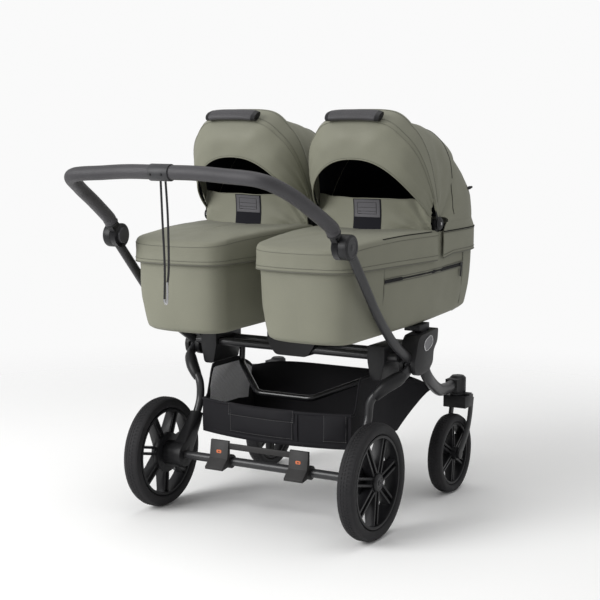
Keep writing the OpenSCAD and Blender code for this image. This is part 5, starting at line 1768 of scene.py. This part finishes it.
    def piping(self, grid: Grid) -> list[Object]:
        """Sew dark piping along the upright seam behind the hinge, where it crosses a gore.

        Args:
            grid: The gore's rows of points.

        Returns:
            The runs of piping.
        """
        runs, run = [], []
        for column in grid.transpose(1, 0, 2):
            far = column[:, 1] - self.hinge_y - self.seam_reach * (0.7
                                                                   + 0.3 * np.clip((column[:, 2] - self.hinge_z) / 170,
                                                                           0, 1))
            cross = np.nonzero((far[:-1] < 0) & (far[1:] >= 0))[0]
            if len(cross):
                k = cross[0]
                run.append(lerp(column[k], column[k + 1], -far[k] / (far[k + 1] - far[k])))
            elif run:
                runs.append(run)
                run = []
        return [tube(f"hood_piping_{self.tag}", path, (1.2, 1.2), (0, 1, 0), self.paint.piping, 8) for path in runs
                + [run] if len(path) > 3]

    def toggle(self, grid: Grid) -> Object:
        """Set the small cord stop on the rear of the canopy's outer side."""
        column = 20 if self.side is Side.RIGHT else 70
        at = grid[18, column]
        out = unit(at - self.hinge)
        return tube("cord_stop", [at + out * k for k in (-3, 1, 3, 8, 9, 14)],
                    [(4, 3), (6, 4), (6.5, 4.5), (6.5, 4.5), (5, 3.5), (4, 3)],
                    (0, 0, 1), self.paint.black, 14)

    def rear(self) -> None:
        """Build the gore fixed to the cot, and the skirt that hangs over the cot's head."""
        grid = self.gore(self.rear_half, self.rear_r, 36.0, self.last_turn, 0.0, self.swell, 5.0 + self.side.value)
        cloth = surface(f"rear_gore_{self.tag}", grid, [self.paint.olive, self.paint.lining], away=self.hinge, wall=1.8,
                        smooth=60)
        piping = self.piping(grid[3:])
        self.bend(joined(cloth, self.toggle(grid), *piping))
        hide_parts(f"hood_canopy_{self.tag}")
        self.declare(cloth, grid, "stretched", [f"cot_tub_{self.tag}"])
        rows = []
        turns = self.turns(self.rear_r, 18, 101)
        for z, share in ((784.0, 0.0), (781.0, 0.12), (774.0, 0.5), (766.0, 0.82), (760.0, 0.97), (752.0, 1.0),
                         (736.0, 1.0), (718.0, 1.0),
                         (704.0, 1.0), (self.skirt_z, 1.0)):
            row = []
            for a in turns:
                r0, w0 = self.profile(self.rear_half + self.swell + 0.4, self.rear_r + self.swell + 0.4, a, self.power
                                      - 0.0108 * self.swell)
                r1, w1 = self.skirt_edge(self.cot_half, self.head_reach, a)
                give = 1.4 * ripple(w1, r1, z, 46, 9.0 + self.side.value) * ease(760 - z, 0, 30)
                reach, wide = lerp(r0, r1, share) + give, lerp(w0, w1, share) + math.copysign(give, w1) * 0.6
                droop = 7.0 * ease(90 - reach, 0, 70) * ease(760 - z, 0, 60)
                row.append((self.x + wide, self.hinge_y + reach, z - droop))
            rows.append(row)
        grid = np.array(rows)
        # The skirt's inner face and hem take the darker olive, partly painted shade under its overhang.
        skirt = surface(f"hood_skirt_{self.tag}", grid, [self.paint.olive, self.paint.olive_edge_and_shade],
                        away=(self.x, 400, 740), wall=1.8, smooth=60)
        hem = tube(f"skirt_hem_{self.tag}", grid[-1], (1.5, 1.8), (0, 0, 1), self.paint.olive_edge_and_shade, 8)
        middle = np.array((self.x, self.hinge_y, 0))
        strip = tube(f"hood_band_{self.tag}", middle + (grid[4] - middle) * (1.003, 1.002, 1), (1.6, 1.6), (0, 0, 1),
                     self.paint.piping, 8)
        lines = [middle + (grid[k] - middle) * (1.004, 1.003, 1) + (0, 0, dz) for k, dz in ((4, -4.0), (8, 2.0))]
        sewn = self.kit.sew("skirt_stitches", lines, self.paint.thread)
        place(joined(skirt, hem, strip, sewn), self.cot, "olive_fabric")
        self.declare(skirt, grid, "hung", [f"cot_tub_{self.tag}"])

    @staticmethod
    def declare(cloth: Object, grid: Grid, held: str, on: Sequence[str]) -> None:
        """Does nothing: the piece of cloth is not declared.

        Args:
            cloth: The piece; not used.
            grid: Its rows of points; not used.
            held: How it is held; not used.
            on: What it rests on or hangs from; not used.
        """

    def visor(self) -> None:
        """Build the visor: a sun peak that hangs from the bow with a bound edge and soft wrinkles."""
        columns = []
        for k in np.linspace(0, 1, 91):
            a = math.radians(lerp(174, 6, k))
            r0, w0 = self.bow(0.0, a)
            r1, w1 = self.profile(self.bow_half - self.visor_bulge, self.visor_r, a, 0.86)
            turn = 42 + 12 * math.cos(a) ** 2
            p = self.point(w0, r0 - 0.6, -28.0)
            q = self.point(w1, r1, -turn)
            m = (p + q) / 2 + unit(np.array((0, -1, 0.5))) * self.visor_bulge * math.sin(a)
            line = spline([p, m, q], 8)
            for i, v in enumerate(line):
                t = i / (len(line) - 1)
                side = 1 - math.sin(a)
                v[1] += math.sin(math.pi * t) * (3.2 * ripple(v[0], v[1], v[2], 46, 2.0 + self.side.value)
                                                 + 3.2 * side * math.sin(22 * t + 0.03 * v[0]))
            columns.append(line)
        grid = np.array(columns).transpose(1, 0, 2)
        cloth = surface(f"visor_cloth_{self.tag}", grid, [self.paint.olive, self.paint.lining], away=(self.x, 420, 800),
                        wall=1.8, smooth=60)
        hem = tube(f"visor_hem_{self.tag}", grid[-1], (2.0, 2.0), (0, 1, 0), self.paint.olive, 8)
        lines = [grid[-2] * 0.5 + grid[-1] * 0.5 + (0, -0.8, 0.3), grid[1] + (0, -0.9, 0.3)]
        sewn = self.kit.sew("visor_stitches", lines, self.paint.thread, 0.0046, 0.003, 0.0005)
        place(joined(cloth, hem, sewn), self.body, "olive_fabric", f"hood_visor_{self.tag}")
        self.declare(cloth, grid, "stretched", [f"bow_sleeve_{self.tag}"])

    def grip(self) -> None:
        """Build the padded grip on the bow, with moulded ends and a sewn seam."""
        tilt = math.radians(27.0)
        route = []
        for x in np.linspace(-self.grip_half, self.grip_half, 49):
            reach = self.bow(0.0, math.acos((abs(x) / self.bow_half) ** (1 / self.power)))[0]
            route.append(self.point(x, reach + 11.9, -27.0))
        out = (0.0, -math.sin(tilt), math.cos(tilt))
        count = len(route)
        halves = []
        for k in range(count):
            t = k / (count - 1)
            full = 1 - 0.16 * math.exp(-(min(t, 1 - t) / 0.05) ** 2)
            halves.append((21.8 * full, 10.9 * full))
        rings = sweep(route, halves, out, 26)
        pad = surface(f"hood_grip_{self.tag}_padded", rings, [self.paint.leather], wrap=True, cap=True, smooth=50)
        ends = []
        for part in (slice(0, 4), slice(count - 4, count)):
            size = [(a + 1.0, b + 0.9) for a, b in halves[part]]
            ends.append(tube("grip_end", route[part], size, out, self.paint.black, 26))
        lines = [rings[4:-4, k] for k in (3, 10)]
        sewn = self.kit.sew("grip_stitches", lines, self.paint.grey_thread, 0.0044, 0.003, 0.00055)
        place(joined(pad, sewn, *ends), self.body, "leatherette", f"hood_grip_{self.tag}")

    def hinge_cover(self, s: int) -> None:
        """Set the round cover and its bright stud over a hood pivot.

        Args:
            s: 1 for the pivot on the right of this cot, -1 for the left one.
        """
        outer = s == self.side.value
        high = 5.5 if outer else 2.4
        x = self.x + s * (self.bow_half + 0.4)
        shape = [(4.4, 1.0), (9.0, 0.95), (14.0, 0.7), (16.4, 0.35), (17.0, 0.0)]
        rows = revolve([(r, s * high * h) for r, h in shape], (x, self.hinge_y, self.hinge_z), 40)
        cover = surface(f"hinge_cover_{self.tag}_{'right' if s > 0 else 'left'}", rows, [self.paint.black], loop=True,
                        away=(x - s * 40, self.hinge_y, self.hinge_z), smooth=40)
        dot = revolve([(0.2, s * (high + 0.6)), (2.4, s * (high + 0.5)), (3.8, s * high), (4.5, s * (high - 1.0))],
                      (x, self.hinge_y, self.hinge_z), 28)
        stud = surface("hinge_stud", dot, [self.paint.steel], loop=True, away=(x - s * 40, self.hinge_y, self.hinge_z),
                       smooth=40)
        place(joined(cover, stud), self.body, "black_plastic")


@dataclass
class Studio:
    """The pale floor, soft light and the camera at the photograph's angle."""

    eye: tuple[float, float, float] = (1937.8, -3106.6, 1075.4)
    yaw: float = 30.41
    pitch: float = -7.56
    lens: float = 85.53

    def build(self) -> None:
        """Build the camera, floor, lamps and world."""
        self.camera()
        self.floor()
        self.lamps()
        self.world()
        bpy.context.scene.view_settings.view_transform = "Standard"

    def camera(self) -> None:
        """Set the camera."""
        data = bpy.data.cameras.new("Camera")
        data.lens = self.lens
        data.sensor_width = 36.0
        data.clip_end = 100.0
        camera = bpy.data.objects.new("Camera", data)
        bpy.context.scene.collection.objects.link(camera)
        yaw, pitch = math.radians(self.yaw), math.radians(self.pitch)
        ahead = Vector((-math.sin(yaw) * math.cos(pitch), math.cos(yaw) * math.cos(pitch), math.sin(pitch)))
        camera.matrix_world = Matrix.Translation(to_row([self.eye])[0]) @ ahead.to_track_quat("-Z",
                "Y").to_matrix().to_4x4()
        bpy.context.scene.camera = camera

    def floor(self) -> None:
        """Lay a round pale floor that fades out into the background."""
        rings = [[(r * math.cos(t), r * math.sin(t), 0.0) for t in around(64)] for r in (0.02, 1.0, 2.0, 4.0, 7.0)]
        mesh = bpy.data.meshes.new("studio_floor")
        points = [p for ring in rings for p in ring]
        faces = [(i * 64 + j, i * 64 + (j + 1) % 64, (i + 1) * 64 + (j + 1) % 64, (i + 1) * 64 + j)[::-1]
                 for i in range(4) for j in range(64)]
        mesh.from_pydata(points, [], [f[::-1] for f in faces] + [tuple(range(64))])
        made = bpy.data.materials.new("studio_paper")
        made.use_nodes = True
        tree = made.node_tree
        shader = tree.nodes["Principled BSDF"]
        tune(shader, {"Base Color": (0.985, 0.985, 0.98, 1.0), "Roughness": 0.9, "Specular IOR Level": 0.1})
        where = tree.nodes.new("ShaderNodeTexCoord")
        far = tree.nodes.new("ShaderNodeVectorMath")
        far.operation = "LENGTH"
        fade = tree.nodes.new("ShaderNodeMapRange")
        fade.interpolation_type = "SMOOTHSTEP"
        tune(fade, {"From Min": 0.9, "From Max": 3.0})
        clear = tree.nodes.new("ShaderNodeBsdfTransparent")
        mix = tree.nodes.new("ShaderNodeMixShader")
        wire(tree, (where.outputs["Object"], far.inputs[0]), (far.outputs["Value"], fade.inputs["Value"]),
                   (fade.outputs["Result"], mix.inputs[0]), (shader.outputs[0], mix.inputs[1]),
                   (clear.outputs[0], mix.inputs[2]),
                   (mix.outputs[0], tree.nodes["Material Output"].inputs["Surface"]))
        link("studio_floor", mesh, [made])

    @staticmethod
    def lamps() -> None:
        """Hang the soft boxes."""
        for name, at, look, size, watts in (("key", (-2.0, -3.4, 2.4), (0, 0, 0.6), 3.0, 162.0),
                                            ("top", (0.2, 0.2, 4.2), (0, 0, 0.5), 3.4, 38.0),
                                            ("edge", (3.2, 1.2, 2.2), (0, 0, 0.6), 1.6, 5.0)):
            data = bpy.data.lights.new(name, "AREA")
            data.shape = "DISK"
            data.size = size
            data.energy = watts
            lamp = bpy.data.objects.new(name, data)
            bpy.context.scene.collection.objects.link(lamp)
            lamp.location = at
            lamp.rotation_euler = (Vector(look) - Vector(at)).to_track_quat("-Z", "Y").to_euler()

    @staticmethod
    def world() -> None:
        """Make a white background that lights the object at a plain level."""
        world = bpy.data.worlds.new("studio")
        bpy.context.scene.world = world
        world.use_nodes = True
        tree = world.node_tree
        light = tree.nodes["Background"]
        tune(light, {"Color": (1.0, 1.0, 1.0, 1.0), "Strength": 0.5})
        seen = tree.nodes.new("ShaderNodeBackground")
        tune(seen, {"Color": (0.955, 0.955, 0.955, 1.0), "Strength": 1.0})
        path = tree.nodes.new("ShaderNodeLightPath")
        mix = tree.nodes.new("ShaderNodeMixShader")
        wire(tree, (path.outputs["Is Camera Ray"], mix.inputs[0]), (light.outputs[0], mix.inputs[1]),
                   (seen.outputs[0], mix.inputs[2]), (mix.outputs[0], tree.nodes["World Output"].inputs["Surface"]))


def corners(box: Sequence[Vector]) -> list[list[float]]:
    """Turn a box's corners into plain lists of numbers."""
    return [[round(float(c), 5) for c in corner] for corner in box]


def main() -> None:
    """Dress the pram and set it in the studio."""
    logging.basicConfig(level=logging.INFO, format="%(message)s")
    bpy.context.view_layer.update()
    kit = NodeKit()
    paint = Finishes(kit)
    Studio().build()
    Handle(paint, kit).build()
    for side in Side:
        Wheel(paint, kit, "rear", side, 324.0, 0.0, 150.0, 119.0, 46.0, 92).build()
        Wheel(paint, kit, "front", side, 300.0, 525.0, 112.0, 88.0, 40.0, 74).build()
    Mouldings(paint, kit).build()
    Tubes(paint, kit).build()
    Basket(paint, kit).build()
    for side in Side:
        Cot(paint, kit, side).build()
        Hood(paint, kit, side).build()


if __name__ == "__main__":
    main()
